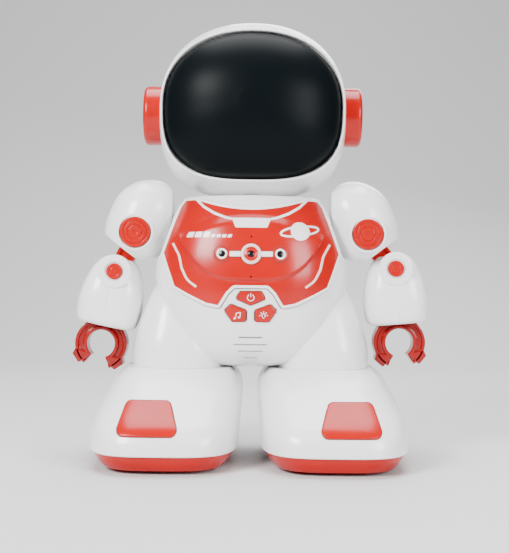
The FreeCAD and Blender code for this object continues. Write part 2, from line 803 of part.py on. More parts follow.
def sole_sections(inset):
    """Sole narrowing towards the floor, with an even inset for its pocket."""
    base = foot_sections[0]
    rows = [(sole_bottom_z, sole_taper), (0.5 * (sole_bottom_z + foot_bottom_z), 0.4 * sole_taper),
            (foot_bottom_z, 0.0)]
    return [(z, base[1], base[2], base[3] - sole_inset - taper - inset,
             base[4] - sole_inset - taper - inset, base[5]) for z, taper in rows]


def sole():
    """Shallow tray with a well for the drive wheel and bearing blocks for the roller."""
    floor_z = sole_bottom_z + sole_wall
    pocket = stack("z", sole_sections(sole_wall))
    pocket = pocket.common(box(-150, 150, -150, 150, floor_z, foot_bottom_z + 1.0))
    body = stack("z", sole_sections(0.0)).cut(pocket)
    block_width = 5.0
    half = roller_width / 2 + play
    for x0 in (roller_x - half - block_width, roller_x + half):
        body = body.fuse(box(x0, x0 + block_width, roller_y - 5.0, roller_y + 5.0,
                             sole_bottom_z, roller_radius + 4.0))
    well_half = math.sqrt(tyre_radius ** 2 - (tyre_radius - floor_z) ** 2) + 2 * play
    well_x = tyre_width / 2 + 3 * play
    body = body.cut(box(wheel_x - well_x, wheel_x + well_x, wheel_y - well_half, wheel_y + well_half,
                        0, foot_bottom_z))
    slot_y = roller_radius + 2 * play
    body = body.cut(box(roller_x - half, roller_x + half, roller_y - slot_y, roller_y + slot_y,
                        0, foot_bottom_z))
    pin_reach = roller_width / 2 + 4.0
    bore = rod(roller_x - pin_reach - play, roller_y, roller_radius, roller_pin_radius + running_fit,
               2 * pin_reach + 2 * play, X_AXIS)
    return main_solid(body.cut(bore))


wheel_inner_x = wheel_x - tyre_width / 2 - 0.5
gearbox_outer_x = wheel_inner_x - 2 * play
hub_radius = tyre_radius - tyre_thickness


def drive_motor():
    """Gearbox standing on the sole, with its motor lying towards the toe."""
    floor_z = sole_bottom_z + sole_wall
    gearbox = box(gearbox_outer_x - gearbox_width, gearbox_outer_x, wheel_y - gearbox_half_length,
                  wheel_y + gearbox_half_length, floor_z, gearbox_top_z)
    motor_x = gearbox_outer_x - gearbox_width / 2
    motor_y = wheel_y - gearbox_half_length - motor_length
    motor = rod(motor_x, motor_y, floor_z + motor_radius + 4.0, motor_radius, motor_length + 1.0, Y_AXIS)
    bore = rod(gearbox_outer_x - gearbox_width - 1.0, wheel_y, tyre_radius,
               axle_radius + running_fit, gearbox_width + 2.0, X_AXIS)
    return main_solid(gearbox.fuse(motor).cut(bore))


def drive_wheel():
    """Hub with a recessed face and its axle, which reaches through the gearbox."""
    width = tyre_width + 1.0
    profile = [(0, 0), (hub_radius, 0), (hub_radius, width), (hub_radius - 2.0, width),
               (hub_radius - 3.0, width - 2.0), (4.5, width - 2.0), (4.0, width), (0, width)]
    hub = turned(profile, Vec(wheel_inner_x, wheel_y, tyre_radius), X_AXIS)
    start = gearbox_outer_x - gearbox_width
    axle = rod(start, wheel_y, tyre_radius, axle_radius, wheel_inner_x - start + 1.0, X_AXIS)
    return hub.fuse(axle)


def drive_tyre():
    """Rubber ring with rounded shoulders and tread grooves across it."""
    r = tyre_radius
    w = tyre_width
    profile = [(hub_radius, 0), (r - 0.8, 0), (r, 0.8), (r, w - 0.8), (r - 0.8, w), (hub_radius, w)]
    tyre = turned(profile, Vec(wheel_x - w / 2, wheel_y, r), X_AXIS)
    groove_count = 24
    grooves = []
    for i in range(groove_count):
        groove = box(-w, w, -0.5, 0.5, r - 0.7, r + 2.0)
        groove.rotate(ORIGIN, X_AXIS, (i + 0.5) * 360.0 / groove_count)
        groove.translate(Vec(wheel_x, wheel_y, r))
        grooves.append(groove)
    return main_solid(tyre.cut(grooves[0].multiFuse(grooves[1:])))


def front_roller():
    """Smooth roller with a stub pin at each end."""
    half = roller_width / 2
    profile = [(0, -half), (roller_radius - 1.0, -half), (roller_radius, -half + 1.0),
               (roller_radius, half - 1.0), (roller_radius - 1.0, half), (0, half)]
    body = turned(profile, Vec(roller_x, roller_y, roller_radius), X_AXIS)
    reach = half + 4.0
    pin = rod(roller_x - reach, roller_y, roller_radius, roller_pin_radius, 2 * reach, X_AXIS)
    return body.fuse(pin)


# ---- head ----

def plate(y0, y1, hu, hv, power):
    """Flat plate of superellipse outline round the middle of the helmet."""
    face = Part.Face(section_wire("y", y0, 0.0, helmet_z, hu, hv, power))
    return face.extrude(Vec(0, y1 - y0, 0))


def helmet_skin():
    outer = stack("y", helmet_sections)
    inner = stack("y", opened(grown(helmet_sections, -wall), first=6.0))
    return outer, inner


def helmet_front_shell():
    outer, inner = helmet_skin()
    shell = outer.cut(inner).common(box(-90, 90, -90, helmet_seam_y, 100, 400))
    rim_y = visor_rim_y + lip_thickness
    lip = plate(visor_rim_y, rim_y, visor_half_width + 1.2, visor_half_height + 2.6, visor_power)
    lip = lip.cut(plate(visor_rim_y - 1, rim_y + 1, visor_half_width - lip_width,
                        visor_half_height - lip_width, visor_power))
    shell = shell.fuse(lip.common(outer))
    shell = shell.fuse(screw_posts(helmet_screws_at, helmet_z, outer, helmet_seam_y, 16.0))
    visor_space = stack("y", opened(visor_sections, last=0.0))
    cuts = [visor_space, screw_bores(helmet_screws_at, helmet_z, helmet_seam_y), neck_hole(), ear_holes()]
    for cutter in cuts:
        shell = shell.cut(cutter)
    return main_solid(shell)


def helmet_rear_shell():
    outer, inner = helmet_skin()
    shell = outer.cut(inner).common(box(-90, 90, helmet_seam_y, 90, 100, 400))
    shell = shell.fuse(screw_tubes(helmet_screws_at, helmet_z, outer, helmet_seam_y))
    for cutter in (screw_wells(helmet_screws_at, helmet_z, helmet_seam_y), neck_hole()):
        shell = shell.cut(cutter)
    return main_solid(shell)


def neck_hole():
    return rod(0, torso_y, helmet_z - helmet_half_height - 5.0, post_radius, 20.0, Z_AXIS)


def ear_holes():
    return both_sides(rod(ear_outer_x - 30.0, -6.0, helmet_z - ear_drop, ear_spigot_radius, 40.0, X_AXIS))


def visor():
    """Domed black face with an even wall, its edge on the helmet's lip."""
    outer = stack("y", visor_sections)
    inner = stack("y", opened(grown(visor_sections, -visor_wall), last=visor_wall + 4.0))
    return main_solid(outer.cut(inner))


def ear_cap():
    """Thick round cap with a rolled rim and a shallow dish, its back fitted to the helmet."""
    depth = ear_outer_x - (helmet_half_width - 6.0)
    r = ear_radius
    profile = [(0, 0), (r, 0), (r, depth - 4.5), (r - 0.5, depth - 3.0), (r - 1.6, depth - 1.6),
               (r - 3.2, depth - 0.5), (r - 5.0, depth), (r - 7.0, depth), (r - 7.8, depth - 0.8),
               (0, depth - 0.8)]
    body = turned(profile, Vec(ear_outer_x - depth, 0, helmet_z - ear_drop), X_AXIS)
    body = main_solid(body.cut(stack("y", helmet_sections)))
    spigot = rod(helmet_half_width - wall - 3.0, -6.0, helmet_z - ear_drop, ear_spigot_radius, 8.0, X_AXIS)
    return main_solid(body.fuse(spigot))


def face_display_board():
    """Light board behind the visor, on the rear face of the lip, with a row of lamps."""
    rear = visor_rim_y + lip_thickness
    board = plate(rear, rear + board_thickness, visor_half_width - 1.2, visor_half_height - 1.2, visor_power)
    lamps = [rod(x, rear - 1.5, helmet_z + 4.0, 2.5, 2.0, Y_AXIS) for x in (-26, -13, 13, 26)]
    return board.multiFuse(lamps)


def neck_post():
    """Hollow post that the head turns on, flanged under the collar and inside the helmet."""
    low = neck_z - collar_depth - play
    floor = helmet_z - helmet_half_height + wall + 1.2
    r = post_radius
    profile = [(r - 3.0, low - 3.0), (r + 6.0, low - 3.0), (r + 6.0, low), (r, low), (r, floor),
               (r + 6.0, floor), (r + 6.0, floor + 2.5), (r, floor + 4.0), (r, floor + 9.0),
               (r - 3.0, floor + 9.0)]
    outer, inner = helmet_skin()
    post = turned(profile, Vec(0, torso_y, 0), Z_AXIS)
    return main_solid(post.cut(outer.cut(inner).cut(neck_hole())))


# ---- arms ----

def rim_cutter():
    """Half space beyond the open lower rim of the shoulder shell."""
    block = box(-80, 80, -60, 60, -80 - rim_distance, -rim_distance)
    return hang(block, rim_angle, Vec(shoulder_x, shoulder_y, raise_z))


def shoulder_shell():
    """Rounded hood, flat towards the torso, open at its lower outer rim."""
    outer = stack("z", shoulder_sections)
    inner = stack("z", grown(shoulder_sections, -wall))
    outer = outer.cut(box(0, shoulder_inner_x, -60, 60, 0, 300))
    inner = inner.cut(box(0, shoulder_inner_x + wall, -60, 60, 0, 300))
    front = shoulder_y - shoulder_radius
    ring = rod(shoulder_x, front + 0.6, raise_z, disc_radius + 1.6, 6.0, Y_AXIS)
    shell = outer.fuse(ring.cut(inner)).cut(inner).cut(rim_cutter())
    shell = shell.cut(rod(shoulder_x, front - 5.0, raise_z, disc_radius, 12.0, Y_AXIS))
    shell = shell.cut(rod(shoulder_x, shoulder_y, raise_z, arm_pin_radius, 60.0, Y_AXIS))
    for tilt in link_sweep:
        slot = hang(link_blank(play), tilt, Vec(shoulder_x, shoulder_y, raise_z))
        shell = shell.cut(slot)
    axle = rod(shoulder_inner_x - 1.0, shoulder_y, swing_z, axle_r, wall + 2.0, X_AXIS)
    return main_solid(shell.cut(axle))


def shoulder_axle():
    """Steel axle, flanged inside the torso, fixed in the shoulder's inner wall."""
    flange_x = shoulder_inner_x - axle_flange_back
    shaft = rod(flange_x - 4.0, shoulder_y, swing_z, axle_r,
                shoulder_inner_x + wall + 4.0 - flange_x, X_AXIS)
    flange = rod(flange_x - 2.4, shoulder_y, swing_z, axle_flange_r, 2.4, X_AXIS)
    lock = rod(shoulder_inner_x + wall, shoulder_y, swing_z, axle_r + 2.5, 2.0, X_AXIS)
    return shaft.multiFuse([flange, lock])


def shoulder_disc():
    """Red disc with concentric rings, and the pin that the arm link turns on."""
    r = disc_radius
    top = 5.0
    profile = [(0, 0), (r, 0), (r, top - 1.0), (r - 0.3, top - 0.3), (r - 1.0, top), (8.2, top),
               (8.2, top - 0.7), (7.4, top - 0.7), (7.4, top), (5.2, top), (5.2, top - 0.7),
               (4.4, top - 0.7), (4.4, top), (1.4, top), (1.4, top - 0.7), (0, top - 0.7)]
    front = shoulder_y - shoulder_radius - 1.0
    disc = turned(profile, Vec(shoulder_x, front + top, raise_z), Vec(0, -1, 0))
    pin_length = shoulder_y + shoulder_radius - 1.0 - front - top
    return disc.fuse(rod(shoulder_x, front + top - 0.5, raise_z, arm_pin_radius, pin_length, Y_AXIS))


def link_blank(growth):
    """Dog-bone plate from the shoulder pin at the origin to the elbow pin below it."""
    y0 = -link_thickness / 2 - growth
    y1 = link_thickness / 2 + growth
    half = link_width / 2 + growth
    bar = box(-half, half, y0, y1, -link_length, 0)
    top = rod(0, y0, 0, link_end_radius + growth, y1 - y0, Y_AXIS)
    low = rod(0, y0, -link_length, link_end_radius + growth, y1 - y0, Y_AXIS)
    return bar.multiFuse([top, low])


def arm_link(side):
    blank = link_blank(0.0)
    blank = blank.cut(rod(0, -20, 0, arm_pin_radius + running_fit, 40, Y_AXIS))
    blank = blank.cut(rod(0, -20, -link_length, elbow_pin_radius + running_fit, 40, Y_AXIS))
    for y in (-link_thickness / 2 - 1.0, link_thickness / 2 - 1.2):
        blank = blank.cut(box(-link_width / 2 + 2.2, link_width / 2 - 2.2, y, y + 2.2,
                              -link_length + 10.0, -10.0))
    return hang(blank, link_tilt[side], Vec(shoulder_x, shoulder_y, raise_z))


def elbow_point(side):
    tilt = math.radians(link_tilt[side])
    return Vec(shoulder_x + link_length * math.sin(tilt), shoulder_y,
               raise_z - link_length * math.cos(tilt))


forearm_rows = [(forearm_bottom, 0.80, 0.82), (forearm_bottom + 1.5, 0.885, 0.91),
                (forearm_bottom + 7.5, 0.965, 0.975), (forearm_bottom + 15.5, 1.0, 1.0),
                (-10.0, 0.97, 0.98), (0.0, 0.91, 0.93), (forearm_top - 3.0, 0.76, 0.80),
                (forearm_top, 0.50, 0.55)]
forearm_sections = [(t, 0.0, 0.0, wide * forearm_half_width, deep * forearm_half_depth, 2.9)
                    for t, wide, deep in forearm_rows]
boss_face = 0.93 * forearm_half_depth + 1.4


def forearm():
    """Whole forearm about the elbow pin: barrel, bosses, slot for the link, web for the hand's stem."""
    outer = stack("z", forearm_sections)
    inner = stack("z", opened(grown(forearm_sections, -wall), first=6.0))
    web = inner.common(box(-40, 40, -40, 40, stem_web_top - 3.0, stem_web_top))
    bosses = rod(0, -boss_face, 0, elbow_boss_radius, 2 * boss_face, Y_AXIS)
    low = inner.cut(rod(0, -50, 0, elbow_pin_radius + 3.5, 100, Y_AXIS))
    body = outer.fuse(bosses).cut(low).fuse(web)
    for angle in elbow_slot_angles:
        slot = link_blank(play)
        slot.translate(Vec(0, 0, link_length))
        slot.rotate(ORIGIN, Y_AXIS, angle)
        body = body.cut(slot)
    body = body.cut(rod(0, -50, 0, elbow_pin_radius, 100, Y_AXIS))
    body = body.cut(rod(0, -boss_face - 1, 0, elbow_cap_radius, 3.0, Y_AXIS))
    stem_bore = rod(0, 0, stem_web_top - 5.0, stem_radius + running_fit, 8.0, Z_AXIS)
    return body.cut(stem_bore)


def forearm_halves(side):
    whole = hang(forearm(), forearm_tilt[side], elbow_point(side))
    front = whole.common(box(-200, 200, -100, shoulder_y, -100, 300))
    rear = whole.common(box(-200, 200, shoulder_y, 100, -100, 300))
    return main_solid(front), main_solid(rear)


def elbow_cap(side):
    """Red cap with a ring, and the pin through the elbow."""
    r = elbow_cap_radius
    top = 2.6
    profile = [(0, 0), (r, 0), (r, top - 0.7), (r - 0.7, top), (3.4, top), (3.4, top - 0.5),
               (2.8, top - 0.5), (2.8, top), (0, top)]
    cap = turned(profile, Vec(0, -boss_face + 2.0, 0), Vec(0, -1, 0))
    pin = rod(0, -boss_face + 1.5, 0, elbow_pin_radius, 2 * boss_face - 2.5, Y_AXIS)
    return hang(cap.fuse(pin), forearm_tilt[side], elbow_point(side))


def hand(side):
    """C-shaped gripper with raised rims, pointed pads, and a flanged stem held by the forearm's web."""
    half = hand_thickness / 2
    ring = rod(0, -half, hand_centre, hand_outer_radius, hand_thickness, Y_AXIS)
    pad = [(hand_gap_half, -5.0), (hand_outer_radius, -4.0), (hand_outer_radius, -10.6),
           (12.4, -15.8), (hand_gap_half, -10.6)]
    pads = prism([(x, z + hand_centre) for x, z in pad], -half, half, 0.6)
    body = ring.fuse(both_sides(pads))
    body = body.cut(rod(0, -half - 1, hand_centre, hand_inner_radius, hand_thickness + 2, Y_AXIS))
    body = body.cut(box(-hand_gap_half, hand_gap_half, -half - 1, half + 1, hand_centre - 30, hand_centre))
    for y in (-half - 1.0, half - hand_groove):
        depth = hand_groove + 1.0
        groove = rod(0, y, hand_centre, hand_outer_radius - 2.4, depth, Y_AXIS)
        groove = groove.cut(rod(0, y - 1, hand_centre, hand_inner_radius + 2.4, depth + 2, Y_AXIS))
        body = body.cut(groove.common(box(-30, 30, -30, 30, hand_centre - 3.0, hand_centre + 30)))
    r = stem_radius
    web_low = stem_web_top - 3.0
    profile = [(0, hand_centre + hand_inner_radius + 2.0), (r, hand_centre + hand_inner_radius + 2.0),
               (r, web_low - play - 2.4), (stem_flange_radius, web_low - play - 2.4),
               (stem_flange_radius, web_low - play), (r, web_low - play), (r, stem_web_top + play),
               (stem_flange_radius, stem_web_top + play), (stem_flange_radius, stem_web_top + play + 2.4),
               (0, stem_web_top + play + 2.4)]
    stem = turned(profile, ORIGIN, Z_AXIS)
    return hang(main_solid(body.fuse(stem)), forearm_tilt[side], elbow_point(side))


# ---- build ----

def build():
    os.makedirs("parts", exist_ok=True)
    single = {"torso_front_shell": torso_front_shell, "torso_rear_shell": torso_rear_shell,
              "neck_collar": neck_collar, "chest_panel": chest_panel, "chest_trim": chest_trim,
              "sensor_windows": sensor_windows, "centre_lens": centre_lens, "speaker": speaker,
              "main_board": main_board, "button_pad": button_pad, "battery_tray": battery_tray,
              "battery_cells": battery_cells, "battery_cover": battery_cover,
              "battery_cover_screw": battery_cover_screw, "helmet_front_shell": helmet_front_shell,
              "helmet_rear_shell": helmet_rear_shell, "visor": visor, "neck_post": neck_post,
              "face_display_board": face_display_board}
    paired = {"thigh_shell": thigh_shell, "hip_cap": hip_cap, "foot_shell": foot_shell,
              "foot_insert": foot_insert, "sole": sole, "drive_motor": drive_motor,
              "drive_wheel": drive_wheel, "drive_tyre": drive_tyre, "front_roller": front_roller,
              "ear_cap": ear_cap, "shoulder_shell": shoulder_shell, "shoulder_axle": shoulder_axle,
              "shoulder_disc": shoulder_disc}
    posed = {"arm_link": arm_link, "elbow_cap": elbow_cap, "hand": hand}
    for name, make in single.items():
        export(name, make())
    export("body_screws", screw_set(body_screws_at, 0, torso_seam_y))
    export("helmet_screws", screw_set(helmet_screws_at, helmet_z, helmet_seam_y))
    for name, outline in button_outlines.items():
        export(name, button(outline))
    for name, make in paired.items():
        shape = make()
        for side in SIDES:
            export(side + "_" + name, for_side(shape, side))
    for side in SIDES:
        for name, make in posed.items():
            export(side + "_" + name, for_side(make(side), side))
        front, rear = forearm_halves(side)
        export(side + "_forearm_front_shell", for_side(front, side))
        export(side + "_forearm_rear_shell", for_side(rear, side))


build()
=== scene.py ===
"""Outer skins, trim and finishes of the toy astronaut robot, on the robot's own frame.

Sizes are millimetres in the robot's frame: +Z up, the robot faces -Y, its own left side is +X.
Each skin is a stack of superellipse sections, splined along the stack and worked out as whole arrays.
"""
import json
import math

import bpy
import numpy as np
from bpy.props import FloatProperty, FloatVectorProperty, PointerProperty
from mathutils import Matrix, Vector


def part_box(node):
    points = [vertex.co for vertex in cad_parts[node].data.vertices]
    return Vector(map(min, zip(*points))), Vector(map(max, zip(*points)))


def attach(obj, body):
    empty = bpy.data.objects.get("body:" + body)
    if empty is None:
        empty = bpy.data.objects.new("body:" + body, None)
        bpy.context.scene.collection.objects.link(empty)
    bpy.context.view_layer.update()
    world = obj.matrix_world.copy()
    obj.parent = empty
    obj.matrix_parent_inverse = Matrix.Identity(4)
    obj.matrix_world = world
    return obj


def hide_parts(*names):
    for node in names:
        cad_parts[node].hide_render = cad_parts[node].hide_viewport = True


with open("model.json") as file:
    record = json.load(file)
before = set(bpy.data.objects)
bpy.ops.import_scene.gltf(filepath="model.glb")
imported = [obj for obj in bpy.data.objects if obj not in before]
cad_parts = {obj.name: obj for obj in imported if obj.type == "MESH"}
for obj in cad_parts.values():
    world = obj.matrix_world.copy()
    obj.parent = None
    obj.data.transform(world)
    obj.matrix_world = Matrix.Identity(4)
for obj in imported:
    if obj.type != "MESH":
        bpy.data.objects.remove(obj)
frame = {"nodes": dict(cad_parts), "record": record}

bl_info = {
    "name": "Toy astronaut robot",
    "version": (1, 0, 0),
    "blender": (4, 5, 0),
    "location": "View3D > Sidebar > Robot",
    "description": "Builds the skins, trim and finishes of a toy astronaut robot",
    "category": "Add Mesh",
}

MM = 0.001
UP, FORWARD, BACKWARD = (0.0, 0.0, 1.0), (0.0, -1.0, 0.0), (0.0, 1.0, 0.0)
SIDES = {"right": -1.0, "left": 1.0}
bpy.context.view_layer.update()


# ---- places read from the frame ----

def node_box(*names):
    """Lowest and highest corner of one or more nodes, in millimetres."""
    lows, highs = zip(*[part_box(name) for name in names])
    return np.min(lows, axis=0) / MM, np.max(highs, axis=0) / MM


def joint(name):
    """Place in millimetres and axis of a joint of the record."""
    found = next(j for j in frame["record"]["behaviour"]["joints"] if j["name"] == name)
    return np.array(found.get("pos_m", (0, 0, 0))) / MM, np.array(found["axis"], float)


TORSO_LOW, TORSO_HIGH = node_box("torso_front_shell", "torso_rear_shell")
HELMET_LOW, HELMET_HIGH = node_box("helmet_front_shell", "helmet_rear_shell")
VISOR_LOW, VISOR_HIGH = node_box("visor")
FOOT_LOW, FOOT_HIGH = node_box("left_foot_shell")
THIGH_LOW = node_box("left_thigh_shell")[0]
EAR_LOW, EAR_HIGH = node_box("left_ear_cap")
COLLAR_LOW, COLLAR_HIGH = node_box("neck_collar")
COVER_LOW, COVER_HIGH = node_box("battery_cover")
SHOULDER_LOW = node_box("left_shoulder_shell")[0]
HAND_PIVOT = {side: joint(side + "_hand_twist") for side in SIDES}
RAISE_PIVOT = {side: joint(side + "_arm_raise")[0] for side in SIDES}
SWING_PIVOT = joint("left_shoulder_swing")[0]

NECK_Z = TORSO_HIGH[2]
HELMET_Z = 0.5 * (HELMET_LOW[2] + HELMET_HIGH[2])
HELMET_SEAM_Y = node_box("helmet_rear_shell")[0][1]
TORSO_SEAM_Y = node_box("torso_rear_shell")[0][1]
TORSO_Y = 0.5 * (TORSO_LOW[1] + TORSO_HIGH[1])


# ---- curves and grids ----

def spline(points, count):
    """Smooth curve through the rows of points: cubic pieces with continuous curvature, by chord length."""
    p = np.asarray(points, float)
    chord = np.concatenate([[0.0], np.cumsum(np.linalg.norm(np.diff(p, axis=0), axis=1))])
    gap = np.diff(chord)
    slope = np.diff(p, axis=0) / gap[:, None]
    size = len(p)
    matrix = np.zeros((size, size))
    right = np.zeros_like(p)
    matrix[0, :2] = (2.0, 1.0)
    matrix[-1, -2:] = (1.0, 2.0)
    right[0], right[-1] = 3.0 * slope[0], 3.0 * slope[-1]
    inner = np.arange(1, size - 1)
    matrix[inner, inner - 1] = 1.0 / gap[:-1]
    matrix[inner, inner + 1] = 1.0 / gap[1:]
    matrix[inner, inner] = 2.0 * (1.0 / gap[:-1] + 1.0 / gap[1:])
    right[1:-1] = 3.0 * (slope[:-1] / gap[:-1, None] + slope[1:] / gap[1:, None])
    tangent = np.linalg.solve(matrix, right)
    s = np.linspace(0.0, chord[-1], count)
    i = np.clip(np.searchsorted(chord, s, side="right") - 1, 0, size - 2)
    h = gap[i][:, None]
    t = (s - chord[i])[:, None] / h
    return ((2 * t ** 3 - 3 * t ** 2 + 1) * p[i] + (t ** 3 - 2 * t ** 2 + t) * h * tangent[i]
            + (3 * t ** 2 - 2 * t ** 3) * p[i + 1] + (t ** 3 - t ** 2) * h * tangent[i + 1])


def polar_radius(angle, power):
    """Reach of the superellipse |u|^p + |v|^p = 1 along an angle; a pair of powers is upper, lower."""
    upper, lower = power if isinstance(power, tuple) else (power, power)
    p = np.where(np.sin(angle) >= 0.0, upper, lower)
    return (np.abs(np.cos(angle)) ** p + np.abs(np.sin(angle)) ** p) ** (-1.0 / p)


def skin_grid(rows, angles, power, axis):
    """Grid of sections: row (t, cu, cv, hu, hv) gives centre plus half size times the polar reach."""
    t, cu, cv, hu, hv = (rows[:, k][:, None] for k in range(5))
    angle = np.broadcast_to(angles, (len(rows), np.shape(angles)[-1]))
    reach = polar_radius(angle, power)
    u = cu + hu * reach * np.cos(angle)
    v = cv + hv * reach * np.sin(angle)
    t = np.broadcast_to(t, u.shape)
    return np.stack([u, v, t] if axis == "z" else [u, t, v], axis=-1)


def grid_normals(grid, wrap):
    """Unit normals of a grid, as the cross product of its row and column differences."""
    down = np.gradient(grid, axis=0)
    if wrap:
        across = np.roll(grid, -1, axis=1) - np.roll(grid, 1, axis=1)
    else:
        across = np.gradient(grid, axis=1)
    normal = np.cross(across, down)
    normal /= np.maximum(np.linalg.norm(normal, axis=-1, keepdims=True), 1e-9)
    outward = np.sum(normal * (grid - grid.mean(axis=(0, 1))))
    return normal if outward > 0 else -normal


def fillet(points, radius, closed, steps=8):
    """Polyline with each corner replaced by a tangent arc of the radius, limited by its two runs."""
    p = [np.asarray(point, float) for point in points]
    count = len(p)
    result = []
    for i in range(count):
        if not closed and i in (0, count - 1):
            result.append(p[i][None])
            continue
        before, after = p[i - 1] - p[i], p[(i + 1) % count] - p[i]
        limit = 0.45 * min(np.linalg.norm(before), np.linalg.norm(after))
        before, after = before / np.linalg.norm(before), after / np.linalg.norm(after)
        half = 0.5 * math.acos(np.clip(before @ after, -1.0, 1.0))
        if half > 1.55:
            result.append(p[i][None])
            continue
        reach = min(radius / math.tan(half), limit)
        bend = reach * math.tan(half)
        bisector = (before + after) / np.linalg.norm(before + after)
        centre = p[i] + bisector * bend / math.sin(half)
        start, end = p[i] + before * reach - centre, p[i] + after * reach - centre
        turn = math.pi - 2.0 * half
        k = np.linspace(0.0, 1.0, steps)[:, None]
        arc = (np.sin((1 - k) * turn) * start + np.sin(k * turn) * end) / math.sin(turn)
        result.append(centre + arc)
    return np.concatenate(result)


def even(points, count, closed):
    """The polyline resampled at even steps along its length."""
    p = np.concatenate([points, points[:1]]) if closed else np.asarray(points, float)
    length = np.concatenate([[0.0], np.cumsum(np.linalg.norm(np.diff(p, axis=0), axis=1))])
    s = np.linspace(0.0, length[-1], count + (1 if closed else 0))
    sampled = np.stack([np.interp(s, length, p[:, k]) for k in range(p.shape[1])], axis=-1)
    return sampled[:-1] if closed else sampled


def arc_path(x, z, radius, start, end, count=40):
    turn = np.radians(np.linspace(start, end, count))
    return np.stack([x + radius * np.cos(turn), z + radius * np.sin(turn)], axis=-1)


def straight(x0, z0, x1, z1, count=10):
    k = np.linspace(0.0, 1.0, count)[:, None]
    return (1 - k) * np.array((x0, z0)) + k * np.array((x1, z1))


def rounded(points, radius, count):
    """Closed outline through the points, its corners rounded, in even steps."""
    return even(fillet(points, radius, True), count, True)


def circle(count):
    """Evenly spaced angles once round."""
    return np.linspace(0.0, 2.0 * math.pi, count, endpoint=False)


def side_normals(outline, closed=True):
    """Unit normals of a plane curve, outward for a closed one."""
    if closed:
        along = np.roll(outline, -1, axis=0) - np.roll(outline, 1, axis=0)
    else:
        along = np.gradient(outline, axis=0)
    along /= np.maximum(np.linalg.norm(along, axis=1, keepdims=True), 1e-9)
    normal = np.stack([along[:, 1], -along[:, 0]], axis=-1)
    if closed and np.sum(normal * (outline - outline.mean(axis=0))) < 0:
        normal = -normal
    return normal


def mirrored(half):
    """Closed outline from its half on +X."""
    half = np.asarray(half, float)
    return np.concatenate([half, half[::-1] * (-1.0, 1.0)])


def smoothstep(low, high, value):
    t = np.clip((value - low) / (high - low), 0.0, 1.0)
    return t * t * (3.0 - 2.0 * t)


# ---- surfaces that trim lies on ----

class Skin:
    """A stack of sections along Z, splined once, that can be asked for its front or rear at (x, z)."""

    def __init__(self, sections, power, facing=-1.0):
        self.rows = spline(sections, 1600)
        self.power = power
        self.facing = facing

    def depth(self, x, z):
        """Y of the skin: centre plus half depth times (1 - |u|^p)^(1/p)."""
        cu, cv, hu, hv = (np.interp(z, self.rows[:, 0], self.rows[:, k]) for k in range(1, 5))
        u = np.clip(np.abs((x - cu) / hu), 0.0, 0.998)
        return cv + self.facing * hv * (1.0 - u ** self.power) ** (1.0 / self.power)

    def half_width(self, z):
        return np.interp(z, self.rows[:, 0], self.rows[:, 3])

    def lift(self, x, z, height):
        """Point over (x, z) at a height above the skin along its normal."""
        x, z, height = np.broadcast_arrays(np.asarray(x, float), z, height)
        step = 0.05
        slope_x = (self.depth(x + step, z) - self.depth(x - step, z)) / (2 * step)
        slope_z = (self.depth(x, z + step) - self.depth(x, z - step)) / (2 * step)
        normal = np.stack([-slope_x, np.ones_like(x), -slope_z], axis=-1) * self.facing
        normal /= np.linalg.norm(normal, axis=-1, keepdims=True)
        return np.stack([x, self.depth(x, z), z], axis=-1) + height[..., None] * normal

    def stand(self, x, z):
        """Point and outward normal of the skin at (x, z)."""
        foot, tip = self.lift(x, z, 0.0), self.lift(x, z, 1.0)
        return foot, tip - foot


def patch_grid(skin, outline, centre, height, lip, rows=44, depth=1.2):
    """Panel on a skin: rays from a centre to the inset outline, a quarter-round lip, a skirt and a back."""
    centre = np.asarray(centre, float)
    normal = side_normals(outline)
    inset = outline - lip * normal
    share = np.linspace(0.0, 1.0, rows + 1)[1:, None, None] ** 0.8
    plane = centre + share * (inset - centre)
    rise = np.full(plane.shape[:2], float(height))
    turn = np.linspace(0.0, 0.5 * math.pi, 7)[1:, None, None]
    roll = outline - lip * (1.0 - np.sin(turn)) * normal
    roll_rise = np.broadcast_to(height - lip * (1.0 - np.cos(turn[..., 0])), roll.shape[:2])
    back = np.stack([outline, centre + 0.5 * (outline - centre), centre + 0.05 * (outline - centre)])
    back_rise = np.full(back.shape[:2], -float(depth))
    points = np.concatenate([plane, roll, back])
    heights = np.concatenate([rise, roll_rise, back_rise])
    return skin.lift(points[..., 0], points[..., 1], heights)


def ribbon_grid(skin, path, width, height, base, closed, sides=14):
    """Raised line on a skin: at each point of the path an oval section, flat underneath."""
    normal = side_normals(path, closed)
    turn = circle(sides)
    across = 0.5 * width * np.cos(turn)
    rise = base + np.where(np.sin(turn) > 0, height * np.abs(np.sin(turn)) ** 0.6, 0.4 * np.sin(turn))
    x = path[:, 0][:, None] + across * normal[:, 0][:, None]
    z = path[:, 1][:, None] + across * normal[:, 1][:, None]
    return skin.lift(x, z, np.broadcast_to(rise, x.shape))


def lathe_grid(profile, origin, direction, count=96):
    """Profile of (radius, height) rows turned about an axis through the origin."""
    direction = np.asarray(direction, float) / np.linalg.norm(direction)
    helper = np.array([0.0, 0.0, 1.0]) if abs(direction[2]) < 0.9 else np.array([1.0, 0.0, 0.0])
    first = np.cross(helper, direction)
    first /= np.linalg.norm(first)
    second = np.cross(direction, first)
    turn = circle(count)
    ring = np.cos(turn)[:, None] * first + np.sin(turn)[:, None] * second
    profile = np.asarray(profile, float)
    return np.asarray(origin) + profile[:, 0, None, None] * ring + profile[:, 1, None, None] * direction


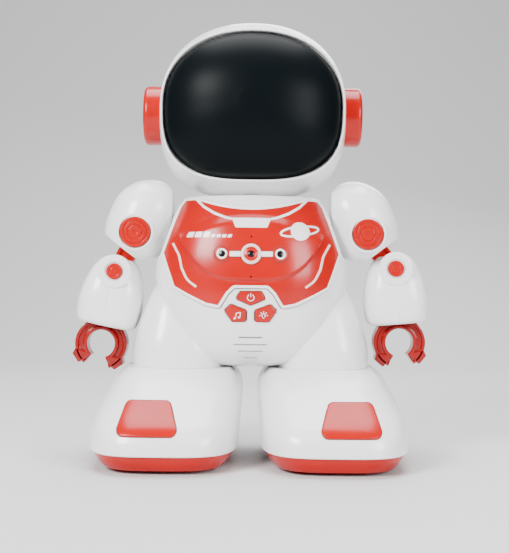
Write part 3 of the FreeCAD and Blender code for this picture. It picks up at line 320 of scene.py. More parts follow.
def slab_grid(outline, centre, y_front, y_back, lip, rows=6):
    """Plate between two planes of constant y, with quarter-round edges on both faces."""
    normal = side_normals(outline)
    centre = np.asarray(centre, float)
    share = np.linspace(0.0, 1.0, rows + 1)[1:, None, None]
    face = centre + share * (outline - lip * normal - centre)
    turn = np.linspace(0.0, 0.5 * math.pi, 6)[1:, None, None]
    roll = outline - lip * (1.0 - np.sin(turn)) * normal
    sink = lip * (1.0 - np.cos(turn[:, 0, 0]))
    plane = np.concatenate([face, roll, roll[::-1], face[::-1]])
    depth = np.concatenate([np.full(rows, y_front), y_front + sink, y_back - sink[::-1],
                            np.full(rows, y_back)])
    depth = np.broadcast_to(depth[:, None], plane.shape[:2])
    return np.stack([plane[..., 0], depth, plane[..., 1]], axis=-1)


# ---- meshes ----

MATERIALS = {}
SLOTS = {"white": "white_plastic", "trim": "white_plastic", "speaker_and_shadow": "white_plastic", "red": "red_plastic",
         "shaded_red": "red_plastic", "highlit_red": "red_plastic", "gap": "red_plastic", "visor": "visor_black",
         "window": "dark_window", "steel": "steel"}
SHARP_ANGLE = math.radians(32.0)


def grid_faces(rows, cols, wrap, loop=False):
    index = np.arange(rows * cols).reshape(rows, cols)
    if loop:
        index = np.concatenate([index, index[:1]])
    near = index if wrap else index[:, :-1]
    far = np.roll(index, -1, axis=1) if wrap else index[:, 1:]
    return np.stack([near[:-1], far[:-1], far[1:], near[1:]], axis=-1).reshape(-1, 4)


def piece(name, grids, look, body, slot=None, wrap=True, caps=(True, True), loop=False, replaces=()):
    """One object from one or more grids, its ends closed with a fan to their middle or joined in a loop.

    The look names its material; the slot, given or taken from the look, is worked out but not used.
    """
    caps = (False, False) if loop else caps
    grids = grids if isinstance(grids, list) else [grids]
    vertices, faces, first = [], [], 0
    for grid in grids:
        rows, cols = grid.shape[:2]
        points = grid.reshape(-1, 3)
        quads = grid_faces(rows, cols, wrap, loop)
        fans = []
        for wanted, row, start in ((caps[0], grid[0], 0), (caps[1], grid[-1], (rows - 1) * cols)):
            if not wanted:
                continue
            ring = start + np.arange(cols)
            following = np.roll(ring, -1)
            pole = np.full(cols, len(points))
            points = np.concatenate([points, row.mean(axis=0)[None]])
            order = [following, ring, pole] if start == 0 else [ring, following, pole]
            fans.append(np.stack(order, axis=-1))
        triangles = np.concatenate([quads[:, :3], quads[:, [0, 2, 3]]] + fans)
        corner = points[triangles]
        volume = np.sum(corner[:, 0] * np.cross(corner[:, 1], corner[:, 2]))
        order = 1 if volume > 0 else -1
        faces += (quads[:, ::order] + first).tolist()
        for fan in fans:
            faces += (fan[:, ::order] + first).tolist()
        vertices.append(points)
        first += len(points)
    mesh = bpy.data.meshes.new(name)
    mesh.from_pydata((np.concatenate(vertices) * MM).tolist(), [], faces)
    mesh.polygons.foreach_set("use_smooth", np.ones(len(mesh.polygons), dtype=bool))
    mesh.set_sharp_from_angle(angle=SHARP_ANGLE)
    mesh.materials.append(MATERIALS[look])
    mesh.update()
    made = bpy.data.objects.new(name, mesh)
    bpy.context.scene.collection.objects.link(made)
    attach(made, body)
    slot or SLOTS[look]
    if replaces:
        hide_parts(*replaces)
    return made


def sided(grid, side):
    """Grid worked out for the left side, mirrored for the right."""
    return grid * (SIDES[side], 1.0, 1.0)


def shell_wall(made, thickness):
    """Gives an open skin its wall, inwards."""
    wall = made.modifiers.new("wall", "SOLIDIFY")
    wall.thickness = thickness * MM
    wall.offset = -1.0
    wall.use_even_offset = True


# ---- materials ----

class Term:
    """A number in a shader: arithmetic on it adds Math nodes."""

    def __init__(self, board, socket):
        self.board = board
        self.socket = socket

    def apply(self, operation, *others):
        node = self.board.node("ShaderNodeMath", {"operation": operation})
        for slot, value in enumerate((self,) + others):
            self.board.feed(node.inputs[slot], value)
        return Term(self.board, node.outputs[0])

    def __add__(self, other):
        return self.apply("ADD", other)

    __radd__ = __add__

    def __mul__(self, other):
        return self.apply("MULTIPLY", other)

    __rmul__ = __mul__

    def __sub__(self, other):
        return self.apply("SUBTRACT", other)

    def __rsub__(self, other):
        return (self * -1.0) + other

    def __truediv__(self, other):
        return self.apply("DIVIDE", other)

    def sine(self):
        return self.apply("SINE")

    def above(self, limit):
        return self.apply("GREATER_THAN", limit)

    def ramp(self, low, high):
        """0 below low, 1 above high, straight between."""
        scaled = (self - low) / (high - low)
        return scaled.apply("MAXIMUM", 0.0).apply("MINIMUM", 1.0)


class Board:
    """Node tree of one material, with its Principled shader."""

    def __init__(self, name):
        self.material = bpy.data.materials.new(name)
        self.material.use_nodes = True
        self.tree = self.material.node_tree
        self.shader = self.tree.nodes["Principled BSDF"]
        self.place = self.node("ShaderNodeTexCoord").outputs["Object"]

    def node(self, kind, settings=None, values=None):
        made = self.tree.nodes.new(kind)
        for key, value in (settings or {}).items():
            setattr(made, key, value)
        for key, value in (values or {}).items():
            self.feed(made.inputs[key], value)
        return made

    def feed(self, socket, value):
        if isinstance(value, Term):
            self.tree.links.new(value.socket, socket)
        elif isinstance(value, bpy.types.NodeSocket):
            self.tree.links.new(value, socket)
        else:
            socket.default_value = value

    def noise(self, scale, detail=3.0, roughness=0.5):
        made = self.node("ShaderNodeTexNoise", {}, {"Vector": self.place, "Scale": scale,
                                                    "Detail": detail, "Roughness": roughness})
        return Term(self, made.outputs["Fac"])

    def cells(self, scale):
        made = self.node("ShaderNodeTexVoronoi", {}, {"Vector": self.place, "Scale": scale})
        return Term(self, made.outputs["Distance"])

    def axis(self, letter):
        made = self.node("ShaderNodeSeparateXYZ", {}, {"Vector": self.place})
        return Term(self, made.outputs[letter])

    def mix(self, factor, first, second):
        made = self.node("ShaderNodeMix", {"data_type": "RGBA"})
        self.feed(made.inputs[0], factor)
        for slot, value in ((6, first), (7, second)):
            self.feed(made.inputs[slot], value if isinstance(value, bpy.types.NodeSocket) else (*value, 1.0))
        return made.outputs[2]

    def finish(self, colour, roughness, bump=None, depth=0.0002, strength=0.3, **constants):
        """Constant values go on the shader's own sockets."""
        self.feed(self.shader.inputs["Base Color"], colour)
        self.feed(self.shader.inputs["Roughness"], roughness)
        for key, value in constants.items():
            self.shader.inputs[key.replace("_", " ")].default_value = value
        if bump is not None:
            made = self.node("ShaderNodeBump", {}, {"Strength": strength, "Distance": depth, "Height": bump})
            self.feed(self.shader.inputs["Normal"], made.outputs["Normal"])
        return self.material


def shade(colour, factor):
    return tuple(channel * factor for channel in colour)


def gloss_plastic(name, colour, roughness, coat=0.35, tint=0.95, ripple=0.05, specular=0.5):
    """Glossy moulding: faint flow clouding, a slow ripple from the mould and a few duller smears."""
    board = Board(name)
    cloud = board.noise(38.0, 2.0)
    fine = board.noise(900.0, 2.0)
    smear = board.noise(16.0, 4.0, 0.6)
    tone = board.mix(cloud.ramp(0.3, 0.75), colour, shade(colour, tint))
    rough = roughness + smear.ramp(0.5, 0.8) * 0.07 + fine * 0.02
    ripples = board.noise(120.0, 1.0) * 0.7 + fine * 0.3
    return board.finish(tone, rough, ripples, depth=0.00005, strength=ripple, Coat_Weight=coat,
                        Coat_Roughness=0.06, IOR=1.48, Specular_IOR_Level=specular)


def satin_plastic(name, colour, roughness):
    """Spark-textured plastic: fine grain in height and roughness over a slight clouding."""
    board = Board(name)
    grain = board.noise(2200.0, 2.0)
    cloud = board.noise(60.0, 3.0)
    tone = board.mix(cloud, shade(colour, 0.85), shade(colour, 1.1))
    return board.finish(tone, roughness + grain * 0.12, grain, depth=0.00008, strength=0.35)


def visor_finish(colour):
    """Deep black face: mirror-smooth, with hardly visible dust specks that only change its roughness."""
    board = Board("visor_black")
    specks = board.cells(700.0).ramp(0.0, 0.06)
    haze = board.noise(12.0, 3.0)
    tone = board.mix(haze, colour, shade(colour, 1.5))
    return board.finish(tone, 0.42 - specks * 0.06 + haze * 0.04, board.noise(30.0, 1.0), depth=0.0001,
                        strength=0.03, Specular_IOR_Level=0.05)


def metal_finish(name, colour, roughness):
    """Plated steel: turned lines round the part as stretched noise, and a little tarnish."""
    board = Board(name)
    lines = board.noise(1800.0, 1.0)
    tarnish = board.noise(140.0, 4.0)
    tone = board.mix(tarnish.ramp(0.45, 0.75), colour, shade(colour, 0.6))
    return board.finish(tone, roughness + tarnish * 0.15, lines, depth=0.00003, strength=0.3, Metallic=1.0)


def rubber_finish(name, colour):
    """Dull rubber: pale dust in its hollows and a coarse grain."""
    board = Board(name)
    grain = board.noise(1400.0, 4.0, 0.7)
    dust = board.noise(90.0, 5.0, 0.65)
    tone = board.mix(dust.ramp(0.55, 0.8) * 0.4, colour, (0.16, 0.15, 0.14))
    return board.finish(tone, 0.62 + grain * 0.25, grain, depth=0.0002, strength=0.5)


def board_finish():
    """Green solder mask: straight copper tracks under it and bright pads."""
    board = Board("circuit_board")
    tracks = (board.axis("X") * 2600.0).sine() * (board.axis("Z") * 1700.0).sine()
    pads = board.cells(420.0)
    mask = board.mix(tracks.above(0.35), (0.01, 0.09, 0.035), (0.02, 0.17, 0.07))
    tone = board.mix(pads.above(0.2), (0.62, 0.6, 0.5), mask)
    return board.finish(tone, 0.32 + pads * 0.1, tracks.above(0.35), depth=0.0001, strength=0.4)


def cell_finish():
    """Printed battery wrap: dark body with a coloured band towards the top and a scuffed print."""
    board = Board("cell_wrap")
    band = board.axis("Z").ramp(0.128, 0.1285)
    scuff = board.noise(500.0, 4.0)
    printed = board.mix(band, (0.03, 0.035, 0.045), (0.75, 0.38, 0.06))
    tone = board.mix(scuff.ramp(0.62, 0.8), printed, (0.35, 0.35, 0.35))
    return board.finish(tone, 0.28 + scuff * 0.2, scuff, depth=0.00004, strength=0.2, Metallic=0.3)


def prepare_materials(look):
    """All finishes of the robot, from the colours of its settings."""
    white, red, black = tuple(look.white), tuple(look.red), tuple(look.black)
    MATERIALS.update({
        "white": gloss_plastic("white_moulding", white, look.white_roughness, tint=0.97),
        "trim": gloss_plastic("white_print", shade(white, 1.03), 0.32, coat=0.2),
        # Pale pink for the chest ridges and the middle rim: a painted highlight on red plastic.
        "highlit_red": gloss_plastic("red_painted_highlight", (0.92, 0.62, 0.55), 0.3, coat=0.2),
        "red": gloss_plastic("red_moulding", red, 0.22, coat=0.05, tint=0.88, specular=0.34),
        # The grippers' finish is the red darkened to 0.6: painted shade on the red moulding.
        "shaded_red": gloss_plastic("red_moulding_painted_shade", shade(red, 0.6), 0.2, coat=0.1, tint=0.8),
        "visor": visor_finish(black),
        "window": gloss_plastic("dark_window", (0.006, 0.006, 0.007), 0.16, coat=0.1, specular=0.3),
        "gap": satin_plastic("shadow_gap", (0.1, 0.055, 0.05), 0.7),
        # Near-black: the speaker's own dark behind its slits, and painted shadow in the lines round the chest
        # panel and the battery door.
        "speaker_and_shadow": satin_plastic("speaker_dark_and_painted_shadow", (0.03, 0.03, 0.033), 0.8),
        "steel": metal_finish("plated_steel", (0.55, 0.54, 0.52), 0.28),
        "grey": satin_plastic("grey_moulding", (0.22, 0.22, 0.23), 0.5),
        "dark": satin_plastic("dark_moulding", (0.03, 0.03, 0.034), 0.5),
        "rubber": rubber_finish("tyre_rubber", (0.022, 0.022, 0.024)),
        "pad": rubber_finish("switch_rubber", (0.16, 0.16, 0.17)),
        "board": board_finish(),
        "cell": cell_finish(),
    })


# ---- section stacks ----

TORSO_SHARES = [(0.0, 0.30, 0.34), (0.025, 0.56, 0.55), (0.11, 0.79, 0.79), (0.24, 0.915, 0.93),
                (0.42, 0.985, 1.0), (0.60, 1.0, 0.99), (0.77, 0.93, 0.92), (0.90, 0.82, 0.81),
                (1.0, 0.69, 0.68)]
TORSO_POWER = 2.3
HELMET_SHARES = [(-33.0, 0.964, 0.853), (-26.0, 0.977, 0.913), (-16.0, 0.993, 0.975), (-4.0, 1.0, 1.0),
                 (12.0, 0.985, 0.985), (28.0, 0.90, 0.90), (41.0, 0.72, 0.72), (49.5, 0.47, 0.47),
                 (HELMET_HIGH[1], 0.17, 0.17)]
HELMET_POWER = (2.2, 3.0)
VISOR_SHARES = [(1.0, 0.14), (0.93, 0.37), (0.76, 0.64), (0.52, 0.845), (0.24, 0.965), (0.0, 1.0)]
VISOR_POWER = (2.15, 2.9)


def torso_sections():
    half_width, half_depth = TORSO_HIGH[0], 0.5 * (TORSO_HIGH[1] - TORSO_LOW[1])
    height = NECK_Z - TORSO_LOW[2]
    return [(TORSO_LOW[2] + s * height, 0.0, TORSO_Y, w * half_width, d * half_depth)
            for s, w, d in TORSO_SHARES]


def helmet_sections():
    half_width, half_height = HELMET_HIGH[0], 0.5 * (HELMET_HIGH[2] - HELMET_LOW[2])
    return [(y, 0.0, HELMET_Z, w * half_width, h * half_height) for y, w, h in HELMET_SHARES]


def visor_sections():
    bulge = VISOR_HIGH[1] - VISOR_LOW[1]
    half_width, half_height = VISOR_HIGH[0], 0.5 * (VISOR_HIGH[2] - VISOR_LOW[2])
    return [(VISOR_HIGH[1] - forward * bulge, 0.0, HELMET_Z, size * half_width, size * half_height)
            for forward, size in VISOR_SHARES]


def foot_sections():
    """Sections from the four edges: inner, outer, toe, heel."""
    low, high = FOOT_LOW, FOOT_HIGH
    height = high[2] - low[2]
    rows = [(0.0, 1.0, 0.0, 0.0, 0.0), (0.24, 0.0, 0.0, 3.0, 0.0), (0.48, -1.0, 3.0, 15.0, 1.0),
            (0.72, -1.5, 9.0, 29.0, 3.0), (0.90, 1.0, 14.0, 40.0, 4.0), (1.0, 6.0, 19.0, 48.0, 7.0)]
    inner, outer, toe, heel = 6.5, 103.0, -95.0, 50.0
    return [(low[2] + s * height, 0.5 * (inner + i + outer - o), 0.5 * (toe + t + heel - h),
             0.5 * (outer - o - inner - i), 0.5 * (heel - h - toe - t)) for s, i, o, t, h in rows]


THIGH_HEIGHT = 57.0


def thigh_sections():
    inner, outer, middle_y, half_depth = 17.5, 80.5, -5.0, 40.0
    bottom, height = THIGH_LOW[2], THIGH_HEIGHT
    rows = [(0.0, 0.0, 1.0, 1.0), (0.21, 0.5, 1.0, 1.0), (0.42, 2.5, 0.945, 0.95),
            (0.615, 6.5, 0.875, 0.875), (0.81, 12.5, 0.79, 0.75), (0.96, 20.5, 0.69, 0.5),
            (1.0, 27.0, 0.62, 0.3)]
    result = []
    for share, tuck, wide, deep in rows:
        near = inner + tuck
        far = inner + wide * (outer - inner) + (1.0 - wide) * 12.0
        result.append((bottom + share * height, 0.5 * (near + far), middle_y, 0.5 * (far - near),
                       deep * half_depth))
    return result


def shoulder_sections():
    x, y, z = RAISE_PIVOT["left"][0], RAISE_PIVOT["left"][1], SWING_PIVOT[2]
    return [(z - 27.4, x + 1.0, y, 9.0, 9.0), (z - 25.0, x + 0.9, y, 14.5, 14.5),
            (z - 17.0, x + 0.6, y, 21.3, 21.3), (z - 6.0, x - 0.4, y, 23.3, 23.5),
            (z + 6.0, x - 4.4, y, 24.0, 23.3), (z + 16.0, x - 6.4, y, 21.0, 20.5),
            (z + 24.5, x - 7.8, y, 12.5, 12.5), (z + 27.6, x - 8.2, y, 4.5, 4.5)]


FOREARM_ROWS = [(-37.5, 17.9, 16.6), (-36.0, 19.6, 18.2), (-30.0, 21.4, 19.6), (-21.0, 21.8, 19.9),
                (-11.0, 20.3, 19.0), (-2.0, 17.6, 17.0), (5.0, 14.0, 14.6), (9.0, 10.0, 11.0)]
FOREARM_POWER = 2.9

PANEL_PROUD = 0.8


def panel_relief(x, z):
    """Raised middle of the panel, bounded below by a U and at the sides by slanting edges."""
    wide = np.abs(x)
    low_edge = NECK_Z - 56.5 + 20.0 * np.clip(wide / 42.0, 0.0, 1.4) ** 3.4
    field = smoothstep(-0.6, 2.2, z - low_edge)
    top = smoothstep(NECK_Z - 11.5, NECK_Z - 20.0, z + 0.006 * x * x)
    return 1.9 * field * top


class Panel(Skin):
    """The chest panel's own face: the body skin raised by the panel's thickness and relief."""

    def lift(self, x, z, height):
        return super().lift(x, z, height + PANEL_PROUD + panel_relief(x, z))


TORSO = Skin(torso_sections(), TORSO_POWER)
PANEL = Panel(torso_sections(), TORSO_POWER)
TORSO_REAR = Skin(torso_sections(), TORSO_POWER, facing=1.0)
FOOT = Skin(foot_sections(), 3.5)


def on_chest(points):
    """(x, drop below the torso's top) as (x, z)."""
    return [(x, NECK_Z - drop) for x, drop in points]


def fitted(outline):
    """Keeps an outline off the turn of the body, where its front can't be reached along Y."""
    limit = 0.965 * TORSO.half_width(outline[:, 1])
    return np.stack([np.clip(outline[:, 0], -limit, limit), outline[:, 1]], axis=-1)


# ---- pieces: head ----

def make_helmet():
    """Front and rear moulding, split at the seam; the front edge rolls in round the visor."""
    rows = spline(helmet_sections(), 150)
    angles = circle(220)
    seam = 0.12
    front = rows[rows[:, 0] < HELMET_SEAM_Y - seam][::-1]
    roll = np.linspace(0.0, math.pi, 9)[1:]
    rolled = np.repeat(front[-1:], len(roll), axis=0)
    radius = 0.8
    rolled[:, 0] -= radius * np.sin(roll)
    rolled[:, 3:5] -= (radius * (1.0 - np.cos(roll)))[:, None]
    inner = rolled[-1:].copy()
    inner[:, 0] += 6.0
    inner[:, 3:5] -= 0.6
    rear = rows[rows[:, 0] > HELMET_SEAM_Y + seam]
    step = np.array([0.0, 0.0, 0.0, 0.9, 0.9])
    halves = {"front": [front[:1] - step, front, rolled, inner], "rear": [rear[:1] - step, rear]}
    for name, parts in halves.items():
        grid = skin_grid(np.concatenate(parts), angles, HELMET_POWER, "y")
        piece("helmet_" + name + "_moulding", grid, "white", "head", replaces=("helmet_" + name + "_shell",))


def make_visor():
    """Black dome, its sections shrinking towards the front as the height of the bulge grows."""
    rows = spline(visor_sections(), 90)
    grid = skin_grid(rows, circle(200), VISOR_POWER, "y")
    piece("face_visor", grid, "visor", "head", replaces=("visor",))


def make_ears():
    """Thick round caps: a turned profile with a rolled rim, a shallow dish and a centre boss."""
    radius = 0.5 * (EAR_HIGH[2] - EAR_LOW[2])
    middle_z = 0.5 * (EAR_LOW[2] + EAR_HIGH[2])
    outer = EAR_HIGH[0] - 0.8
    corners = [(radius - 0.3, -21.0), (radius, -9.0), (radius, 0.0), (radius - 6.8, 0.0),
               (radius - 7.0, -1.1), (8.2, -1.1), (7.2, -0.4), (3.0, -0.4)]
    profile = fillet(corners, 6.0, False, 14)
    for side in SIDES:
        grid = lathe_grid(profile + (0.0, outer), (0.0, 0.0, middle_z), (1.0, 0.0, 0.0), 128)
        piece(side + "_ear", sided(grid, side), "red", "head", replaces=(side + "_ear_cap",))


def make_collar():
    """White neck ring: a turned profile with a soft shoulder."""
    radius = COLLAR_HIGH[0]
    low, high = COLLAR_LOW[2], COLLAR_HIGH[2]
    corners = [(13.0, low), (radius, low), (radius, low + 5.5), (radius - 3.0, high), (13.0, high)]
    grid = lathe_grid(fillet(corners, 1.8, False), (0.0, TORSO_Y, 0.0), UP, 160)
    piece("neck_ring", grid, "white", "torso", replaces=("neck_collar",))


# ---- pieces: torso ----

SLIT_ROWS = [(83.3, 7.4), (78.5, 10.9), (74.0, 7.9), (69.4, 3.6)]
SLIT_HALF_HEIGHT = 0.6
SLIT_SLOPE = 0.12
SLIT_DEPTH = 2.2
WELL_DEPTH = 3.2
SHELL_WALL = 1.6


def torso_rows():
    """Section heights, with extra rows at the edges of the speaker slits so that they cut clean."""
    base = spline(torso_sections(), 190)
    edges = [z + sign * edge for z, _ in SLIT_ROWS for sign in (-1.0, 1.0)
             for edge in (SLIT_HALF_HEIGHT - SLIT_SLOPE, SLIT_HALF_HEIGHT)]
    keep = base[np.min(np.abs(base[:, :1] - np.array(edges)), axis=1) > 0.16]
    extra = np.stack([np.interp(edges, base[:, 0], base[:, k]) for k in range(5)], axis=-1)
    extra[:, 0] = edges
    rows = np.concatenate([keep, extra])
    return rows[np.argsort(rows[:, 0])]


def shoulder_pocket(grid):
    """Flattens the body where the shoulder hoods swing: |x| is held at the hood's inner face."""
    limit = SHOULDER_LOW[0] - 0.5
    reach = np.hypot(grid[..., 1] - SWING_PIVOT[1], grid[..., 2] - SWING_PIVOT[2])
    blend = smoothstep(30.0, 28.9, reach)
    held = np.sign(grid[..., 0]) * np.minimum(np.abs(grid[..., 0]), limit)
    result = grid.copy()
    result[..., 0] = grid[..., 0] * (1.0 - blend) + held * blend
    return result


def half_torso(rows, front):
    """Half of the body: angles from seam to seam, where half depth times tan(angle) reaches the seam."""
    lean = np.arctan2(TORSO_SEAM_Y - TORSO_Y, rows[:, 4])[:, None]
    gap = 0.0025
    share = np.linspace(0.0, 1.0, 210)
    bend = share - 0.055 * np.sin(2.0 * math.pi * share) * (1.0 if front else 0.0)
    if front:
        start, end = math.pi - lean + gap, 2.0 * math.pi + lean - gap
    else:
        start, end = lean + gap, math.pi - lean - gap
    angles = start + bend * (end - start)
    return skin_grid(rows, angles, TORSO_POWER, "z")


def inside(x, z, outline):
    """Whether each (x, z) lies in a closed outline, by counting the edges crossed to its right."""
    x0, z0 = outline[:, 0], outline[:, 1]
    x1, z1 = np.roll(x0, -1), np.roll(z0, -1)
    spans = (z0 > z[..., None]) != (z1 > z[..., None])
    crossing = x0 + (z[..., None] - z0) * (x1 - x0) / np.where(z1 == z0, 1.0, z1 - z0)
    return (np.sum(spans & (x[..., None] < crossing), axis=-1) % 2) == 1


def key_wells(grid):
    """Depth of the wells that the keys sink into, a little inside the outline of each key."""
    depth = np.zeros(grid.shape[:2])
    near = (np.abs(grid[..., 0]) < 20.0) & (grid[..., 2] < NECK_Z - 58.0) & (grid[..., 2] > NECK_Z - 86.0)
    x, z = grid[near][:, 0], grid[near][:, 2]
    sunk = np.zeros(len(x), dtype=bool)
    for outline in key_outlines().values():
        sunk |= inside(x, z, outline - 0.35 * side_normals(outline))
    depth[near] = np.where(sunk, WELL_DEPTH, 0.0)
    return depth


def make_torso():
    """Front and rear body mouldings: pockets for the shoulders, wells for the keys, speaker slits."""
    rows = torso_rows()
    front = half_torso(rows, True)
    normal = grid_normals(front, False)
    depth = key_wells(front)
    for z, half in SLIT_ROWS:
        tall = np.abs(front[..., 2] - z) < SLIT_HALF_HEIGHT - 0.5 * SLIT_SLOPE
        wide = np.abs(front[..., 0]) < half
        depth = np.where(tall & wide, SLIT_DEPTH, depth)
    front = shoulder_pocket(front - depth[..., None] * normal)
    rear = shoulder_pocket(half_torso(rows, False))
    for name, grid in (("front", front), ("rear", rear)):
        made = piece("body_" + name + "_moulding", grid, "white", "torso", wrap=False, caps=(False, False),
                     replaces=("torso_" + name + "_shell",))
        shell_wall(made, SHELL_WALL)
    strips = [ribbon_grid(TORSO, straight(-half, z, half, z, 40), 2.0 * SLIT_HALF_HEIGHT, 0.15,
                          -SHELL_WALL, False) for z, half in SLIT_ROWS]
    piece("speaker_cloth", strips, "speaker_and_shadow", "torso", "speaker_cone")


PANEL_HALF = [(36.0, 1.3), (46.6, 1.5), (59.5, 38.2), (51.0, 61.2), (41.0, 66.6), (29.0, 72.2),
              (20.0, 73.9), (14.4, 64.7), (10.5, 60.8)]
STRIPE = [(37.5, 1.6), (31.0, 8.2), (24.2, 12.4), (16.0, 15.7), (12.4, 16.6)]
BADGE_HALF = [(12.8, 16.0), (10.0, 22.6)]
RIDGE = [(51.0, 32.2), (46.6, 40.0), (44.7, 48.5), (41.0, 56.0), (35.0, 60.2)]
SENSOR_X = 18.3
SENSOR_DROP = 39.2


def panel_outline():
    """Chest panel: straight runs at the sides, a round neckline that follows the collar."""
    collar = np.linspace(-1.0, 1.0, 41)[1:-1]
    neckline = np.stack([36.0 * collar, NECK_Z - 8.2 + 6.9 * np.abs(collar) ** 2.0], axis=-1)
    sides = fillet(mirrored(on_chest(PANEL_HALF)), 2.2, True)
    start = int(np.argmin(np.hypot(sides[:, 0] - 36.0, sides[:, 1] - (NECK_Z - 1.3))))
    sides = np.roll(sides, -start, axis=0)
    return fitted(even(np.concatenate([sides, neckline]), 640, True))


def line_path(points, count, radius=3.0):
    return even(fillet(points, radius, False), count, False)


def make_chest():
    """Red panel with its raised middle, white border, neckline stripe, badge, and ridges made pale pink as a
    painted highlight.
    """
    outline = panel_outline()
    grid = patch_grid(PANEL, outline, (0.0, NECK_Z - 36.0), 0.0, 0.5, rows=110, depth=2.0)
    piece("chest_plate", grid, "red", "torso", replaces=("chest_panel",))
    inset = outline - 0.95 * side_normals(outline)
    lines = [ribbon_grid(PANEL, fitted(inset), 1.9, 0.4, 0.0, True)]
    for sign in (-1.0, 1.0):
        stripe = line_path([(sign * x, z) for x, z in on_chest(STRIPE)], 90, 9.0)
        lines.append(ribbon_grid(PANEL, stripe, 1.7, 0.4, 0.0, False))
    # A thin dark ribbon just outside the panel: painted shadow in the gap round it.
    around = outline + 0.25 * side_normals(outline)
    piece("chest_plate_shadow_gap", ribbon_grid(TORSO, fitted(around), 0.6, 0.05, -0.02, True), "speaker_and_shadow", "torso")
    piece("chest_lines", lines, "trim", "torso", replaces=("chest_trim",))
    badge = rounded(mirrored(on_chest(BADGE_HALF)), 0.8, 200)
    grid = patch_grid(PANEL, badge, (0.0, NECK_Z - 19.3), 0.45, 0.35, rows=12)
    piece("neck_badge", grid, "trim", "torso")
    # The ridges are pale pink: a painted highlight on the red panel.
    ridges = [ribbon_grid(PANEL, line_path([(sign * x, z) for x, z in on_chest(RIDGE)], 90, 12.0),
                          1.5, 0.5, 0.0, False) for sign in (-1.0, 1.0)]
    piece("chest_ridges", ridges, "highlit_red", "torso")
    make_planet()
    make_dashes()


def make_planet():
    """Printed motif of a plain ringed ball: a disc and a slanting flat ring round it."""
    centre, radius, tilt = np.array((31.0, NECK_Z - 24.2)), 6.2, 0.16
    turn = circle(120)
    disc = centre + radius * np.stack([np.cos(turn), np.sin(turn)], axis=-1)
    grids = [patch_grid(PANEL, disc, centre, 0.16, 0.1, rows=14, depth=0.5)]
    flat = np.stack([12.6 * np.cos(turn), 3.1 * np.sin(turn)], axis=-1)
    lean = np.array([[math.cos(tilt), -math.sin(tilt)], [math.sin(tilt), math.cos(tilt)]])
    grids.append(ribbon_grid(PANEL, centre + flat @ lean.T, 1.3, 0.16, 0.02, True))
    piece("ringed_ball_print", grids, "trim", "torso")


DASH_DROP = 28.9
DASH_GAP = 0.9


def make_dashes():
    """Row of slanted printed dashes, wide ones first, then narrow ones."""
    grids = []
    x = -41.0
    for width, height in ((4.2, 3.6), (4.2, 3.6), (4.2, 3.6), (2.6, 2.0), (2.6, 2.0), (2.6, 2.0), (2.6, 2.0)):
        low, high = NECK_Z - DASH_DROP, NECK_Z - DASH_DROP + height
        slant = 0.35 * height
        corners = [(x, low), (x + width, low), (x + width + slant, high), (x + slant, high)]
        outline = even(fillet(corners, 0.35, True, 5), 60, True)
        middle = np.mean(corners, axis=0)
        grids.append(patch_grid(PANEL, outline, middle, 0.14, 0.1, rows=4, depth=0.5))
        x += width + DASH_GAP
    piece("dash_print", grids, "trim", "torso")


def make_sensors():
    """Two dark windows in stepped rings, the round middle element and the bars between them."""
    z = NECK_Z - SENSOR_DROP
    bar_paths = [straight(a, z, b, z, 24) for a, b in ((-14.6, -6.0), (6.0, 14.6))]
    bars = [ribbon_grid(PANEL, path, 3.4, 0.35, 0.0, False) for path in bar_paths]
    piece("sensor_bars", bars, "trim", "torso")
    # Thin dark lines along the bars' edges: painted shadow.
    dark_edges = [ribbon_grid(PANEL, path + (0.0, offset), 0.4, 0.3, 0.0, False)
                  for path in bar_paths for offset in (-1.85, 1.85)]
    piece("sensor_bar_edges", dark_edges, "gap", "torso")
    stands = [PANEL.stand(sign * SENSOR_X, z) for sign in (-1.0, 1.0)]
    outer = fillet([(3.4, -1.0), (5.0, -1.0), (5.0, 0.5), (3.6, 0.9), (3.4, 0.2)], 0.3, False)
    ring = fillet([(2.2, -1.0), (3.5, -1.0), (3.5, 0.75), (2.4, 0.75), (2.2, 0.2)], 0.2, False)
    glass = [(2.3, -1.0), (2.3, 0.1), (1.4, 0.35), (0.4, 0.45)]
    # Thin dark rings just outside the bezels and the middle rim: painted shadow.
    outlines = [lathe_grid([(inner, -0.5), (inner + 0.4, -0.5), (inner + 0.4, 0.12), (inner, 0.12)],
                           *PANEL.stand(x, z), 96)
                for x, inner in ((-SENSOR_X, 5.0), (SENSOR_X, 5.0), (0.0, 6.6))]
    piece("sensor_outlines", outlines, "gap", "torso", loop=True)
    piece("window_bezels", [lathe_grid(outer, *stand, 72) for stand in stands], "red", "torso", loop=True)
    piece("window_rings", [lathe_grid(ring, *stand, 72) for stand in stands], "trim", "torso", loop=True)
    piece("window_lenses", [lathe_grid(glass, *stand, 48) for stand in stands], "window", "torso",
          replaces=("sensor_windows",))
    base, normal = PANEL.stand(0.0, z)
    rim = [(4.6, -1.0), (6.6, -1.0), (6.6, 0.7), (5.9, 1.1), (4.9, 1.1), (4.6, 0.6)]
    # The rim is pale pink: a painted highlight on a red ring.
    piece("centre_rim", lathe_grid(fillet(rim, 0.3, False), base, normal, 96), "highlit_red", "torso", loop=True)
    cup = [(4.7, -1.0), (4.7, 0.5), (3.2, 1.0), (2.3, 0.6), (2.1, -0.6), (0.5, -0.8)]
    piece("centre_cup", lathe_grid(fillet(cup, 0.4, False), base, normal, 96), "red", "torso",
          replaces=("centre_lens",))
    pin_holes = [lathe_grid([(2.2, -1.0), (2.2, -0.1), (1.6, 0.25), (0.4, 0.45)], base, normal, 48)]
    # The two small dark discs stand in for holes: painted shade.
    for drop in (28.2, 53.5):
        foot, normal = PANEL.stand(0.0, NECK_Z - drop)
        pin_holes.append(lathe_grid([(0.55, -0.4), (0.55, 0.06), (0.2, 0.08)], foot, normal, 24))
    piece("sensor_holes", pin_holes, "window", "torso")


